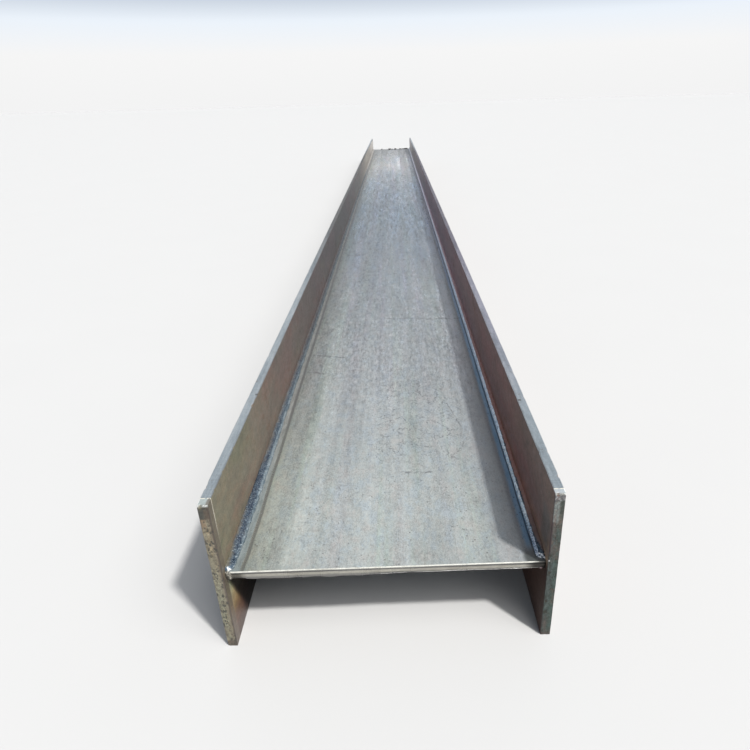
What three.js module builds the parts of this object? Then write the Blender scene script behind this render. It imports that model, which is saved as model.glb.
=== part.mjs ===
// Built-up steel H-beam: one web plate and two flange plates, joined by four continuous fillet welds.
// Units are millimetres. +Z is up, +Y runs along the beam, +X runs from the left flange to the right flange.
// The beam lies on the long edges of its flanges, so the web is level. The origin is the centre of the
// beam's footprint, on the surface it lies on.
import * as THREE from 'three';

// Driving dimensions
const BEAM_DEPTH = 400;        // over the outer faces of the two flanges, along X
const FLANGE_WIDTH = 216;      // height of each flange as the beam lies, along Z
const FLANGE_THICKNESS = 12;
const WEB_THICKNESS = 10;
const BEAM_LENGTH = 6000;      // length of the flange plates, along Y
const WEB_SETBACK = 8;         // the web's front end stops this far behind the flanges' front ends
const FLANGE_ARRIS = 0.6;      // worn corner along each long edge of a flange plate
const WELD_LEG_WEB = 10;       // fillet weld leg along the web
const WELD_LEG_FLANGE = 7;     // fillet weld leg along the flange
const WELD_CROWN = 1.0;        // height of the convex weld face over the straight line between its toes
const WELD_CROWN_STEPS = 6;
const WELD_FRONT_STOP = 2;     // bare web left in front of each weld
const WELD_BACK_STOP = 6;      // bare web left behind each weld

// Derived positions
const HALF_LENGTH = BEAM_LENGTH / 2;
const FLANGE_INNER_X = BEAM_DEPTH / 2 - FLANGE_THICKNESS;
const WEB_MIDDLE_Z = FLANGE_WIDTH / 2;
const WEB_TOP_Z = WEB_MIDDLE_Z + WEB_THICKNESS / 2;
const WEB_BOTTOM_Z = WEB_MIDDLE_Z - WEB_THICKNESS / 2;
const WEB_FRONT_Y = -HALF_LENGTH + WEB_SETBACK;
const WEB_BACK_Y = HALF_LENGTH;

// A straight prism along Y from y0 to y1. The outline is a list of [x, z] points, anticlockwise with x to the
// right and z up.
function prismAlongY(outline, y0, y1) {
  const shape = new THREE.Shape(outline.map(([x, z]) => new THREE.Vector2(x, z)));
  const geometry = new THREE.ExtrudeGeometry(shape, { depth: y1 - y0, bevelEnabled: false, steps: 1 });
  geometry.rotateX(Math.PI / 2);   // the outline's second axis becomes +Z, and the extrusion runs towards -Y
  geometry.translate(0, y1, 0);
  return geometry;
}

// Square-cornered plate section.
function squareOutline(x0, x1, z0, z1) {
  return [[x0, z0], [x1, z0], [x1, z1], [x0, z1]];
}

// Plate section with its four long corners taken off.
function wornOutline(x0, x1, z0, z1, c) {
  return [
    [x0 + c, z0], [x1 - c, z0], [x1, z0 + c], [x1, z1 - c],
    [x1 - c, z1], [x0 + c, z1], [x0, z1 - c], [x0, z0 + c],
  ];
}

// Fillet weld section: two straight legs, and a convex face between the toes. sideX and sideZ are +1 or -1 and say
// which way the section grows from the inside corner at (cornerX, cornerZ).
function filletOutline(cornerX, cornerZ, sideX, sideZ) {
  const points = [[0, 0], [WELD_LEG_WEB, 0]];
  for (let i = 1; i < WELD_CROWN_STEPS; i++) {
    const t = i / WELD_CROWN_STEPS;
    const crown = WELD_CROWN * 4 * t * (1 - t) / Math.SQRT2;
    points.push([WELD_LEG_WEB * (1 - t) + crown, WELD_LEG_FLANGE * t + crown]);
  }
  points.push([0, WELD_LEG_FLANGE]);
  const placed = points.map(([x, z]) => [cornerX + sideX * x, cornerZ + sideZ * z]);
  return sideX * sideZ > 0 ? placed : placed.reverse();
}

function piece(name, geometry, color, roughness, metalness) {
  const mesh = new THREE.Mesh(geometry, new THREE.MeshStandardMaterial({ color, roughness, metalness }));
  mesh.name = name;
  return mesh;
}

const beam = new THREE.Group();

// Web plate, level between the flanges
beam.add(piece('web_plate', prismAlongY(
  squareOutline(-FLANGE_INNER_X, FLANGE_INNER_X, WEB_BOTTOM_Z, WEB_TOP_Z),
  WEB_FRONT_Y, WEB_BACK_Y), 0xa4abb0, 0.55, 0.6));

// Flange plates, upright along both sides
beam.add(piece('flange_plate_left', prismAlongY(
  wornOutline(-BEAM_DEPTH / 2, -FLANGE_INNER_X, 0, FLANGE_WIDTH, FLANGE_ARRIS),
  -HALF_LENGTH, HALF_LENGTH), 0x7d7466, 0.75, 0.4));
beam.add(piece('flange_plate_right', prismAlongY(
  wornOutline(FLANGE_INNER_X, BEAM_DEPTH / 2, 0, FLANGE_WIDTH, FLANGE_ARRIS),
  -HALF_LENGTH, HALF_LENGTH), 0x6f655c, 0.75, 0.4));

// Fillet welds in the four inside corners
const WELD_Y0 = WEB_FRONT_Y + WELD_FRONT_STOP;
const WELD_Y1 = WEB_BACK_Y - WELD_BACK_STOP;
for (const [name, cornerX, cornerZ, sideX, sideZ] of [
  ['weld_bead_upper_left', -FLANGE_INNER_X, WEB_TOP_Z, 1, 1],
  ['weld_bead_upper_right', FLANGE_INNER_X, WEB_TOP_Z, -1, 1],
  ['weld_bead_lower_left', -FLANGE_INNER_X, WEB_BOTTOM_Z, 1, -1],
  ['weld_bead_lower_right', FLANGE_INNER_X, WEB_BOTTOM_Z, -1, -1],
]) {
  beam.add(piece(name, prismAlongY(filletOutline(cornerX, cornerZ, sideX, sideZ), WELD_Y0, WELD_Y1),
    0x5f6b78, 0.5, 0.7));
}

export default beam;
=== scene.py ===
import math

import bpy
import numpy as np
from mathutils import Matrix, Vector


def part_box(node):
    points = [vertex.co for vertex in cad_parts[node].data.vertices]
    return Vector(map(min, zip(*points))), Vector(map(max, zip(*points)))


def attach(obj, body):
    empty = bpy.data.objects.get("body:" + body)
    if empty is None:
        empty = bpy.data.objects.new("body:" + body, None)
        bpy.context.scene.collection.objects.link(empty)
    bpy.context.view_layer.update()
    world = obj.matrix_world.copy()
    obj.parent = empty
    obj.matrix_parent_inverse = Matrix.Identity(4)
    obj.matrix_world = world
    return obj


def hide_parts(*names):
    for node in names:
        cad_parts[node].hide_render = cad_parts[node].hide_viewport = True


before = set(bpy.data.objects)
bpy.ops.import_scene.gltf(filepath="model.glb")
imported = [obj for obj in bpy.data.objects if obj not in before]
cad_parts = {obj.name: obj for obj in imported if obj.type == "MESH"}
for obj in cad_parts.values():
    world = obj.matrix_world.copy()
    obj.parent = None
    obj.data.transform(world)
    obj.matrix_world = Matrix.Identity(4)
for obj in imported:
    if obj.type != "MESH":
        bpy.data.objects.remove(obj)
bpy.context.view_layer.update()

MM = 0.001

# ---------------------------------------------------------------------------------------------------------------
# The beam's own sizes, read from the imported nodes
# ---------------------------------------------------------------------------------------------------------------
WEB_LO, WEB_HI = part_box("web_plate")
FL_LO, FL_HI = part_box("flange_plate_left")
FR_LO, FR_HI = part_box("flange_plate_right")
Y_FRONT, Y_BACK = FL_LO.y, FL_HI.y            # ends of the flanges
WEB_FRONT, WEB_BACK = WEB_LO.y, WEB_HI.y      # ends of the web
WEB_TOP, WEB_BOTTOM = WEB_HI.z, WEB_LO.z
INNER = WEB_HI.x                              # inner faces of the flanges, at -INNER and +INNER
TOP = FL_HI.z

# ---------------------------------------------------------------------------------------------------------------
# Seeded noise on arrays of points
# ---------------------------------------------------------------------------------------------------------------


class Noise:
    """Smooth value noise from -1 to 1, the same on every run."""

    def __init__(self, seed):
        rng = np.random.default_rng(seed)
        self.perm = np.concatenate([rng.permutation(512)] * 3)
        self.value = rng.uniform(-1, 1, 512)

    def at(self, p, scale=(1, 1, 1)):
        q = np.asarray(p, float) * np.asarray(scale, float) + 1000.0
        i = np.floor(q).astype(int)
        f = q - i
        f = f * f * f * (f * (f * 6 - 15) + 10)
        i &= 511
        out = 0
        for dx in (0, 1):
            for dy in (0, 1):
                for dz in (0, 1):
                    h = self.perm[self.perm[self.perm[i[:, 0] + dx] + ((i[:, 1] + dy) & 511)] + ((i[:, 2] + dz) & 511)]
                    w = (f[:, 0] if dx else 1 - f[:, 0]) * (f[:, 1] if dy else 1 - f[:, 1]) * (f[:, 2] if dz else 1 - f[:, 2])
                    out = out + self.value[h] * w
        return out

    def fractal(self, p, scale, octaves=3):
        total, amp, s = 0, 1.0, np.asarray(scale, float)
        for _ in range(octaves):
            total = total + amp * self.at(p, s)
            amp *= 0.5
            s = s * 2.03
        return total / 1.75


def smoothstep(a, b, x):
    t = np.clip((x - a) / (b - a), 0, 1)
    return t * t * (3 - 2 * t)


def stations(marks):
    """Positions along a line from [(place, step at that place), ...], with the step changing evenly in between."""
    out = [marks[0][0]]
    for (a, sa), (b, sb) in zip(marks, marks[1:]):
        n = max(1, int(round(2 * (b - a) / (sa + sb))))
        steps = np.linspace(sa, sb, n)
        steps *= (b - a) / steps.sum()
        out += list(a + np.cumsum(steps))
        out[-1] = b
    return np.array(out)


def edged(lo, hi, n, r):
    """n even steps between lo and hi, with two closer ones inside r of each end for a rounded arris."""
    return np.concatenate([[lo, lo + 0.414 * r], np.linspace(lo + r, hi - r, n + 1), [hi - 0.414 * r, hi]])


# ---------------------------------------------------------------------------------------------------------------
# Mesh makers
# ---------------------------------------------------------------------------------------------------------------


def object_from(name, verts, faces, material, smooth=True):
    mesh = bpy.data.meshes.new(name)
    mesh.from_pydata([tuple(v) for v in verts], [], faces)
    mesh.validate()
    mesh.update()
    if smooth:
        mesh.polygons.foreach_set("use_smooth", [True] * len(mesh.polygons))
    mesh.materials.append(material)
    ob = bpy.data.objects.new(name, mesh)
    bpy.context.scene.collection.objects.link(ob)
    return ob


def plate_grid(gx, gy, gz):
    """The surface of a box on a grid: points (n, 3) and quads whose normals point out."""
    nx, ny, nz = len(gx) - 1, len(gy) - 1, len(gz) - 1
    index = -np.ones((nx + 1, ny + 1, nz + 1), int)
    shell = np.zeros_like(index, bool)
    shell[[0, -1], :, :] = True
    shell[:, [0, -1], :] = True
    shell[:, :, [0, -1]] = True
    i, j, k = np.nonzero(shell)
    index[i, j, k] = np.arange(len(i))
    points = np.stack([gx[i], gy[j], gz[k]], 1)

    def quads(a, b, c, d):
        return np.stack([a.ravel(), b.ravel(), c.ravel(), d.ravel()], 1)

    faces = []
    for side, flip in ((0, True), (nx, False)):
        s = index[side]
        q = quads(s[:-1, :-1], s[1:, :-1], s[1:, 1:], s[:-1, 1:])
        faces.append(q[:, ::-1] if flip else q)
    for side, flip in ((0, False), (ny, True)):
        s = index[:, side]
        q = quads(s[:-1, :-1], s[1:, :-1], s[1:, 1:], s[:-1, 1:])
        faces.append(q[:, ::-1] if flip else q)
    for side, flip in ((0, True), (nz, False)):
        s = index[:, :, side]
        q = quads(s[:-1, :-1], s[1:, :-1], s[1:, 1:], s[:-1, 1:])
        faces.append(q[:, ::-1] if flip else q)
    return points, np.concatenate(faces)


def rounded(points, lo, hi, r):
    """Moves the points of a box's surface onto the same box with worn arrises. r may differ from point to point."""
    lo, hi = np.array(lo), np.array(hi)
    r = np.broadcast_to(np.asarray(r, float), (len(points),))[:, None]
    inner = np.minimum(np.maximum(points, lo + r), hi - r)
    d = points - inner
    length = np.linalg.norm(d, axis=1, keepdims=True)
    normal = d / np.maximum(length, 1e-12)
    return inner + normal * r, normal


def weighted(ob):
    m = ob.modifiers.new("normals", "WEIGHTED_NORMAL")
    m.mode = "FACE_AREA"
    m.weight = 60
    m.keep_sharp = False
    return ob


# ---------------------------------------------------------------------------------------------------------------
# Shader helpers
# ---------------------------------------------------------------------------------------------------------------


class Nodes:
    def __init__(self, name):
        self.mat = bpy.data.materials.new(name)
        self.mat.use_nodes = True
        self.tree = self.mat.node_tree
        self.tree.nodes.clear()
        self.out = self.add("ShaderNodeOutputMaterial")
        self.bsdf = self.add("ShaderNodeBsdfPrincipled")
        self.link(self.bsdf.outputs[0], self.out.inputs["Surface"])
        self.coord = self.add("ShaderNodeTexCoord").outputs["Object"]
        split = self.add("ShaderNodeSeparateXYZ")
        self.link(self.coord, split.inputs[0])
        self.x, self.y, self.z = split.outputs

    def add(self, kind, **props):
        n = self.tree.nodes.new(kind)
        for k, v in props.items():
            setattr(n, k, v)
        return n

    def link(self, a, b):
        self.tree.links.new(a, b)

    def put(self, socket, value):
        if isinstance(value, bpy.types.NodeSocket):
            self.link(value, socket)
        elif value is not None:
            if hasattr(socket.default_value, "__len__") and not hasattr(value, "__len__"):
                value = (value,) * len(socket.default_value)
            if hasattr(socket.default_value, "__len__") and len(socket.default_value) == 4 and len(value) == 3:
                value = (*value, 1.0)
            socket.default_value = value

    def math(self, op, a, b=None, c=None, clamp=False):
        n = self.add("ShaderNodeMath", operation=op, use_clamp=clamp)
        self.put(n.inputs[0], a)
        if b is not None:
            self.put(n.inputs[1], b)
        if c is not None:
            self.put(n.inputs[2], c)
        return n.outputs[0]

    def mul(self, a, b):
        return self.math("MULTIPLY", a, b)

    def plus(self, a, b):
        return self.math("ADD", a, b)

    def minus(self, a, b):
        return self.math("SUBTRACT", a, b)

    def step(self, value, a, b, smooth=True):
        """0 below a and 1 above b, or the other way round where a is the larger."""
        n = self.add("ShaderNodeMapRange", interpolation_type="SMOOTHSTEP" if smooth else "LINEAR")
        self.put(n.inputs["Value"], value)
        lo, hi, t0, t1 = (a, b, 0.0, 1.0) if a < b else (b, a, 1.0, 0.0)
        self.put(n.inputs["From Min"], lo)
        self.put(n.inputs["From Max"], hi)
        self.put(n.inputs["To Min"], t0)
        self.put(n.inputs["To Max"], t1)
        return n.outputs[0]

    def band(self, value, centre, half, soft):
        """1 within half of centre, falling to 0 over soft."""
        d = self.math("ABSOLUTE", self.minus(value, centre))
        return self.step(d, half + soft, half)

    def vec(self, x, y, z):
        n = self.add("ShaderNodeCombineXYZ")
        for s, v in zip(n.inputs, (x, y, z)):
            self.put(s, v)
        return n.outputs[0]

    def scaled(self, sx, sy, sz, vector=None, shift=(0, 0, 0)):
        n = self.add("ShaderNodeMapping")
        self.put(n.inputs["Vector"], vector or self.coord)
        n.inputs["Scale"].default_value = (sx, sy, sz)
        n.inputs["Location"].default_value = shift
        return n.outputs[0]

    def noise(self, vector, scale=1.0, detail=4.0, rough=0.55, distort=0.0):
        n = self.add("ShaderNodeTexNoise")
        self.put(n.inputs["Vector"], vector)
        n.inputs["Scale"].default_value = scale
        n.inputs["Detail"].default_value = detail
        n.inputs["Roughness"].default_value = rough
        n.inputs["Distortion"].default_value = distort
        return n.outputs[0]

    def swing(self, vector, gain, detail=4.0, rough=0.85, distort=0.0):
        """Noise round zero."""
        return self.mul(self.minus(self.noise(vector, 1.0, detail, rough, distort), 0.5), gain)

    def cells(self, vector, scale=1.0, feature="F1", randomness=1.0):
        n = self.add("ShaderNodeTexVoronoi", feature=feature)
        self.put(n.inputs["Vector"], vector)
        n.inputs["Scale"].default_value = scale
        n.inputs["Randomness"].default_value = randomness
        return n

    def ramp(self, value, stops, mode="LINEAR"):
        n = self.add("ShaderNodeValToRGB")
        n.color_ramp.interpolation = mode
        e = n.color_ramp.elements
        while len(e) < len(stops):
            e.new(0.5)
        for el, (at, col) in zip(e, stops):
            el.position = at
            el.color = (*col, 1.0) if len(col) == 3 else col
        self.put(n.inputs[0], value)
        return n.outputs[0]

    def mix(self, fac, a, b, blend="MIX"):
        n = self.add("ShaderNodeMix", data_type="RGBA", blend_type=blend)
        self.put(n.inputs[0], fac)
        self.put(n.inputs[6], a)
        self.put(n.inputs[7], b)
        return n.outputs[2]

    def blend(self, fac, a, b):
        n = self.add("ShaderNodeMix", data_type="FLOAT")
        self.put(n.inputs[0], fac)
        self.put(n.inputs[2], a)
        self.put(n.inputs[3], b)
        return n.outputs[0]

    def shade(self, colour, amount):
        """colour times amount, a number from nodes."""
        n = self.add("ShaderNodeVectorMath", operation="SCALE")
        self.put(n.inputs[0], colour)
        self.put(n.inputs["Scale"], amount)
        return n.outputs[0]

    def tint(self, colour, rgb, fac=1.0):
        return self.mix(fac, colour, rgb, "MULTIPLY")

    def bump(self, height, distance, strength=1.0, normal=None):
        n = self.add("ShaderNodeBump")
        n.inputs["Strength"].default_value = strength
        n.inputs["Distance"].default_value = distance
        self.put(n.inputs["Height"], height)
        if normal is not None:
            self.link(normal, n.inputs["Normal"])
        return n.outputs[0]


def rgb(r, g, b):
    """An sRGB colour of 0 to 255 as linear numbers."""
    return tuple(((c / 255 + 0.055) / 1.055) ** 2.4 if c > 10 else c / 255 / 12.92 for c in (r, g, b))


# ---------------------------------------------------------------------------------------------------------------
# Materials
# ---------------------------------------------------------------------------------------------------------------


# base colours from the front end (0) to the back end (1), and from the left weld (0) to 120 mm away (1)
# the web's tone along the length is partly painted reflected light: paler at the front end, bluer in the middle
WEB_RAMP = [
    (0.0, (0.267, 0.287, 0.278)), (0.017, (0.277, 0.298, 0.290)), (0.04, (0.242, 0.263, 0.260)), (0.09, (0.178, 0.193, 0.198)),
    (0.16, (0.131, 0.146, 0.155)), (0.30, (0.093, 0.113, 0.133)), (0.42, (0.085, 0.108, 0.131)), (0.55, (0.134, 0.158, 0.180)),
    (0.73, (0.243, 0.243, 0.238)), (0.80, (0.200, 0.204, 0.202)), (0.92, (0.146, 0.144, 0.136)), (1.0, (0.128, 0.124, 0.114))]
KHAKI_RAMP = [
    (0.0, (0.75, 0.73, 0.63)), (0.22, (0.89, 0.88, 0.79)), (0.45, (0.955, 0.955, 0.90)), (0.75, (0.98, 0.985, 0.965)), (1.0, (1, 1, 1))]
# end-face colours: a painted highlight on the lip, painted shade in the groove and along the lower edge
CUT_RAMP = [
    (0.0, (0.56, 0.56, 0.51)), (0.15, (0.56, 0.56, 0.50)), (0.21, (0.045, 0.040, 0.032)), (0.36, (0.045, 0.040, 0.032)),
    (0.46, (0.270, 0.256, 0.212)), (0.72, (0.245, 0.234, 0.188)), (0.82, (0.110, 0.108, 0.088)), (1.0, (0.10, 0.095, 0.085))]
LEFT_RAMP = [
    (0.0, (0.140, 0.122, 0.076)), (0.03, (0.140, 0.114, 0.078)), (0.08, (0.098, 0.074, 0.058)),
    (0.16, (0.070, 0.052, 0.048)), (0.33, (0.066, 0.058, 0.056)), (0.55, (0.12, 0.113, 0.104)),
    (0.72, (0.245, 0.228, 0.202)), (1.0, (0.31, 0.30, 0.28))]
RIGHT_RAMP = [
    (0.0, (0.125, 0.074, 0.058)), (0.035, (0.148, 0.056, 0.040)), (0.10, (0.166, 0.062, 0.050)),
    (0.20, (0.218, 0.104, 0.112)), (0.40, (0.252, 0.156, 0.190)), (0.60, (0.262, 0.208, 0.236)),
    (0.78, (0.215, 0.185, 0.200)), (0.92, (0.34, 0.32, 0.325)), (1.0, (0.34, 0.32, 0.325))]
# wear along the upper edges: where it starts and is full (parts of the length), and its colour
EDGE_WORN = {-1: (0.08, 0.28, (0.34, 0.30, 0.28)), 1: (0.07, 0.30, (0.58, 0.48, 0.53))}
SPOT = {-1: (0.262, -0.1895), 1: (0.218, 0.1915)}      # one dark spot on each upper edge: (from the front end, x)
TIP = {-1: 0.0132, 1: 0.0094}                          # bright line, behind the flange's front end
TIP_START = {-1: 0.0015, 1: 0.0042}                    # start of the upper weld, behind the web's front end


def scratch(m, x0, y0, x1, y1, width, wobble=0.004, seed=0.0):
    """A mask along one wavering scratch on the web, from (x0, y0) to (x1, y1) in metres, y from the web's front end."""
    y0, y1 = y0 + WEB_FRONT, y1 + WEB_FRONT
    length = math.hypot(x1 - x0, y1 - y0)
    ux, uy = (x1 - x0) / length, (y1 - y0) / length
    dx, dy = m.minus(m.x, x0), m.minus(m.y, y0)
    along = m.plus(m.mul(dx, ux), m.mul(dy, uy))
    across = m.minus(m.mul(dy, ux), m.mul(dx, uy))
    wave = m.mul(m.minus(m.noise(m.scaled(35, 35, 35, shift=(seed, seed * 2, 0)), detail=2), 0.5), wobble * 2)
    d = m.math("ABSOLUTE", m.plus(across, wave))
    line = m.step(d, width, width * 0.25)
    ends = m.mul(m.step(along, -0.004, 0.006), m.step(along, length + 0.004, length - 0.006))
    gaps = m.step(m.noise(m.scaled(140, 140, 140, shift=(seed * 3, 0, 0)), detail=3, rough=0.7), 0.40, 0.58)
    return m.mul(m.mul(line, ends), gaps)


def crackle(m, sx, sy, width, seed=0.0):
    """Fine broken wandering lines, as scale leaves where it cracks."""
    warp_x = m.swing(m.scaled(60, 50, 1, shift=(seed, 1, 0)), 0.030, detail=3, rough=0.7)
    warp_y = m.swing(m.scaled(60, 50, 1, shift=(4, seed, 0)), 0.034, detail=3, rough=0.7)
    at = m.vec(m.mul(m.plus(m.x, warp_x), sx), m.mul(m.plus(m.y, warp_y), sy), seed)
    edge = m.cells(at, feature="DISTANCE_TO_EDGE").outputs["Distance"]
    line = m.step(edge, width, width * 0.2)
    gaps = m.step(m.noise(m.scaled(90, 80, 1, shift=(seed, seed, 0)), detail=4, rough=0.8), 0.44, 0.58)
    return m.mul(line, gaps)


def web_material():
    m = Nodes("web_steel")
    b = m.bsdf
    along = m.math("DIVIDE", m.minus(m.y, Y_FRONT), Y_BACK - Y_FRONT)
    # tone along the length, partly the plate's own and partly painted reflected light: pale near the front end, bluer
    # in the middle, pale again towards the back end
    wander = m.swing(m.scaled(6, 1.6, 1), 0.06, detail=2, rough=0.55)
    base = m.ramp(m.plus(along, wander), WEB_RAMP)
    # rolling streaks along the plate, broad and fine, then mottling at every scale down to grit
    broad = m.swing(m.scaled(18, 0.45, 1), 0.60, detail=3, rough=0.6)
    fine = m.swing(m.scaled(110, 1.7, 1, shift=(3, 1, 0)), 0.46, detail=4, rough=0.8)
    wash = m.swing(m.scaled(20, 2.4, 1, shift=(5, 7, 0)), 0.95, detail=4, rough=0.95, distort=0.5)
    mottle = m.swing(m.scaled(75, 55, 1), 1.10, detail=4, rough=0.98, distort=0.5)
    grain = m.swing(m.scaled(760, 620, 1), 1.30, detail=2, rough=0.8)
    # grit, finest near the front end and drawn out along the plate further back
    grit = m.mul(m.swing(m.scaled(400, 190, 1, shift=(6, 3, 0)), 1.15, detail=2, rough=0.9), m.step(m.y, Y_FRONT + 0.75, Y_FRONT + 0.30))
    grit = m.plus(grit, m.mul(m.swing(m.scaled(190, 46, 1, shift=(2, 6, 0)), 1.55, detail=2, rough=0.9), m.mul(m.step(m.y, Y_FRONT + 0.20, Y_FRONT + 0.60), m.step(m.y, Y_FRONT + 2.4, Y_FRONT + 1.4))))
    grit = m.plus(grit, m.mul(m.swing(m.scaled(95, 9, 1, shift=(9, 8, 0)), 2.5, detail=2, rough=0.9), m.step(m.y, Y_FRONT + 1.2, Y_FRONT + 2.2)))
    middle = m.mul(m.swing(m.scaled(60, 8, 1, shift=(1, 9, 0)), 1.05, detail=4, rough=0.95), m.step(m.y, Y_FRONT + 0.15, Y_FRONT + 1.0))
    distant = m.mul(m.swing(m.scaled(40, 1.7, 1, shift=(8, 2, 0)), 1.25, detail=4, rough=0.95), m.step(m.y, Y_FRONT + 0.7, Y_FRONT + 2.4))
    tone = m.plus(1.0, m.plus(m.plus(broad, fine), m.plus(wash, m.plus(m.plus(mottle, m.plus(grain, grit)), m.plus(middle, distant)))))
    # light and dark bands left by the rolls
    sway = m.plus(m.x, m.swing(m.scaled(9, 1.3, 1, shift=(7, 2, 0)), 0.030, detail=3, rough=0.6))
    for at, half, soft, gain, y0, y1 in (
            (-0.016, 0.005, 0.012, 0.16, 0.9, 0.1), (-0.106, 0.010, 0.014, 0.14, 1.6, 0.2), (-0.084, 0.008, 0.014, -0.06, 1.2, 0.1), (0.062, 0.014, 0.018, -0.10, 0.9, 0.35),
            (0.058, 0.007, 0.012, 0.16, 1.6, 3.2), (0.030, 0.006, 0.016, -0.10, 0.9, 0.2), (0.098, 0.010, 0.016, 0.07, 1.4, 0.3),
            (-0.118, 0.010, 0.016, 0.12, 2.0, 3.4), (-0.145, 0.008, 0.012, -0.10, 2.6, 0.6), (0.0, 0.028, 0.034, 0.08, 1.5, 1.0), (0.006, 0.030, 0.028, 0.34, 3.7, 4.3), (0.060, 0.006, 0.012, 0.75, 4.0, 4.5)):
        window = m.step(m.y, Y_FRONT + y0, Y_FRONT + y1)
        if gain > 0.5:
            window = m.mul(window, m.step(m.y, Y_FRONT + 5.2, Y_FRONT + 4.9))
        tone = m.plus(tone, m.mul(m.band(sway, at, half, soft), m.mul(window, gain)))
    col = m.shade(base, m.math("MAXIMUM", tone, 0.25))
    # colour drift: lilac and grey-green columns, and finer blue and pink patches in the scale
    column = m.noise(m.scaled(30, 0.9, 1, shift=(1, 3, 0)), detail=3, rough=0.7)
    col = m.mix(m.mul(m.step(column, 0.50, 0.62), m.plus(0.25, m.mul(m.step(m.y, Y_FRONT + 0.30, Y_FRONT + 1.0), 0.75))), col, m.tint(col, (1.035, 0.965, 1.035)))
    col = m.mix(m.step(column, 0.48, 0.36), col, m.tint(col, (0.965, 1.02, 0.965)))
    drift = m.noise(m.scaled(42, 22, 1, shift=(11, 4, 0)), detail=5, rough=0.85)
    col = m.mix(m.step(drift, 0.50, 0.60), col, m.tint(col, (0.94, 0.99, 1.06)))
    col = m.mix(m.step(drift, 0.48, 0.38), col, m.tint(col, (1.06, 0.99, 0.97)))
    patches = m.noise(m.scaled(17, 1.7, 1, shift=(14, 6, 0)), detail=4, rough=0.8)
    back = m.step(m.y, Y_FRONT + 0.7, Y_FRONT + 1.6)
    col = m.mix(m.mul(back, m.step(patches, 0.50, 0.60)), col, m.tint(col, (0.90, 0.99, 1.08)))
    col = m.mix(m.mul(back, m.step(patches, 0.47, 0.37)), col, m.tint(col, (1.07, 0.99, 0.95)))
    # khaki band beside the left weld, a faint cool one beside the right
    ragged = m.swing(m.scaled(34, 4, 1, shift=(2, 2, 0)), 0.05, detail=4, rough=0.6)
    xr = m.plus(m.x, ragged)
    khaki = m.ramp(m.math("DIVIDE", m.plus(xr, INNER), 0.12), KHAKI_RAMP)
    col = m.tint(col, khaki)
    right = m.step(xr, 0.110, 0.170)
    # painted light: further back, the cool band beside the right weld and the strip in the right flange's cast shadow
    # are brightened, lifting that shadow
    far_shadow_lift = m.mul(m.step(m.y, Y_FRONT + 0.20, Y_FRONT + 1.2), m.step(m.y, Y_BACK - 0.4, Y_BACK - 0.9))
    col = m.mix(right, col, m.tint(m.shade(col, m.plus(0.95, m.mul(far_shadow_lift, 0.62))), (1.0, 0.98, 1.03)))
    painted_light_strip = m.mul(m.step(xr, 0.124, 0.152), m.mul(m.step(m.y, Y_FRONT + 0.25, Y_FRONT + 1.3), m.step(m.y, Y_BACK - 0.5, Y_BACK - 1.0)))
    col = m.mix(painted_light_strip, col, m.shade(col, m.plus(1.62, m.mul(m.step(m.y, Y_FRONT + 1.6, Y_FRONT + 3.4), 0.26))))
    under = m.step(m.z, (WEB_TOP + WEB_BOTTOM) / 2 + 0.001, (WEB_TOP + WEB_BOTTOM) / 2 - 0.001)
    col = m.mix(under, col, m.shade((0.150, 0.158, 0.162), m.math("MAXIMUM", tone, 0.25)))
    # heat bands beside the welds, on both faces of the web: d runs from the flange's inner face
    ax = m.math("ABSOLUTE", m.x)
    wobble = m.swing(m.scaled(1, 7, 1, shift=(4, 0, 0)), 0.004, detail=4, rough=0.6)
    d = m.minus(INNER, m.plus(ax, wobble))
    rightness = m.step(m.x, -0.01, 0.01)
    leftness = m.minus(1.0, rightness)
    temper = m.plus(m.noise(m.scaled(160, 30, 1, shift=(8, 3, 0)), detail=5, rough=0.8), m.mul(grain, 0.15))
    pale = m.ramp(temper, [(0.34, (0.125, 0.138, 0.138)), (0.66, (0.305, 0.325, 0.325))])
    fade = m.step(m.y, Y_FRONT + 1.4, Y_FRONT + 0.1)
    pale = m.shade(pale, m.plus(m.mul(fade, 0.30), 0.50))
    pale = m.tint(pale, m.mix(m.step(m.y, Y_FRONT + 0.36, Y_FRONT + 0.08), (1.04, 1.0, 0.96), (0.88, 1.0, 1.06)))
    blue = m.ramp(temper, [(0.3, (0.150, 0.290, 0.440)), (0.7, (0.300, 0.460, 0.620))])
    far = m.step(m.y, Y_FRONT + 0.7, Y_FRONT + 2.2)
    shift = m.minus(m.mul(far, 0.002), m.mul(m.mul(m.step(m.y, Y_FRONT + 0.014, Y_FRONT + 0.040), m.step(m.y, Y_FRONT + 0.40, Y_FRONT + 0.18)), 0.0014))
    haze_l = m.mul(m.step(m.plus(d, shift), 0.0180, 0.0162), leftness)
    haze_r = m.mul(m.step(m.plus(d, m.mul(m.minus(temper, 0.5), 0.006)), 0.0205, 0.0150), m.mul(rightness, m.step(m.y, Y_FRONT + 0.022, Y_FRONT + 0.050)))
    dip = m.mul(m.step(d, 0.0270, 0.0200), rightness)
    col = m.mix(m.mul(dip, 0.55), col, (0.060, 0.070, 0.085))
    col = m.mix(m.mul(haze_l, 0.85), col, pale)
    blue = m.mix(m.step(m.y, Y_FRONT + 0.15, Y_FRONT + 2.6), m.shade(blue, 1.18), m.ramp(temper, [(0.3, (0.230, 0.230, 0.290)), (0.7, (0.430, 0.430, 0.510))]))
    col = m.mix(m.mul(haze_r, 0.90), col, blue)
    beside = m.mul(m.mul(m.step(m.plus(d, shift), 0.0182, 0.0196), m.step(m.plus(d, shift), 0.0330, 0.0190)), leftness)
    col = m.mix(m.mul(beside, 0.55), col, m.shade(col, 0.55))
    line = m.mul(m.band(m.plus(d, shift), 0.0196, 0.0014, 0.0021), leftness)
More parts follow.
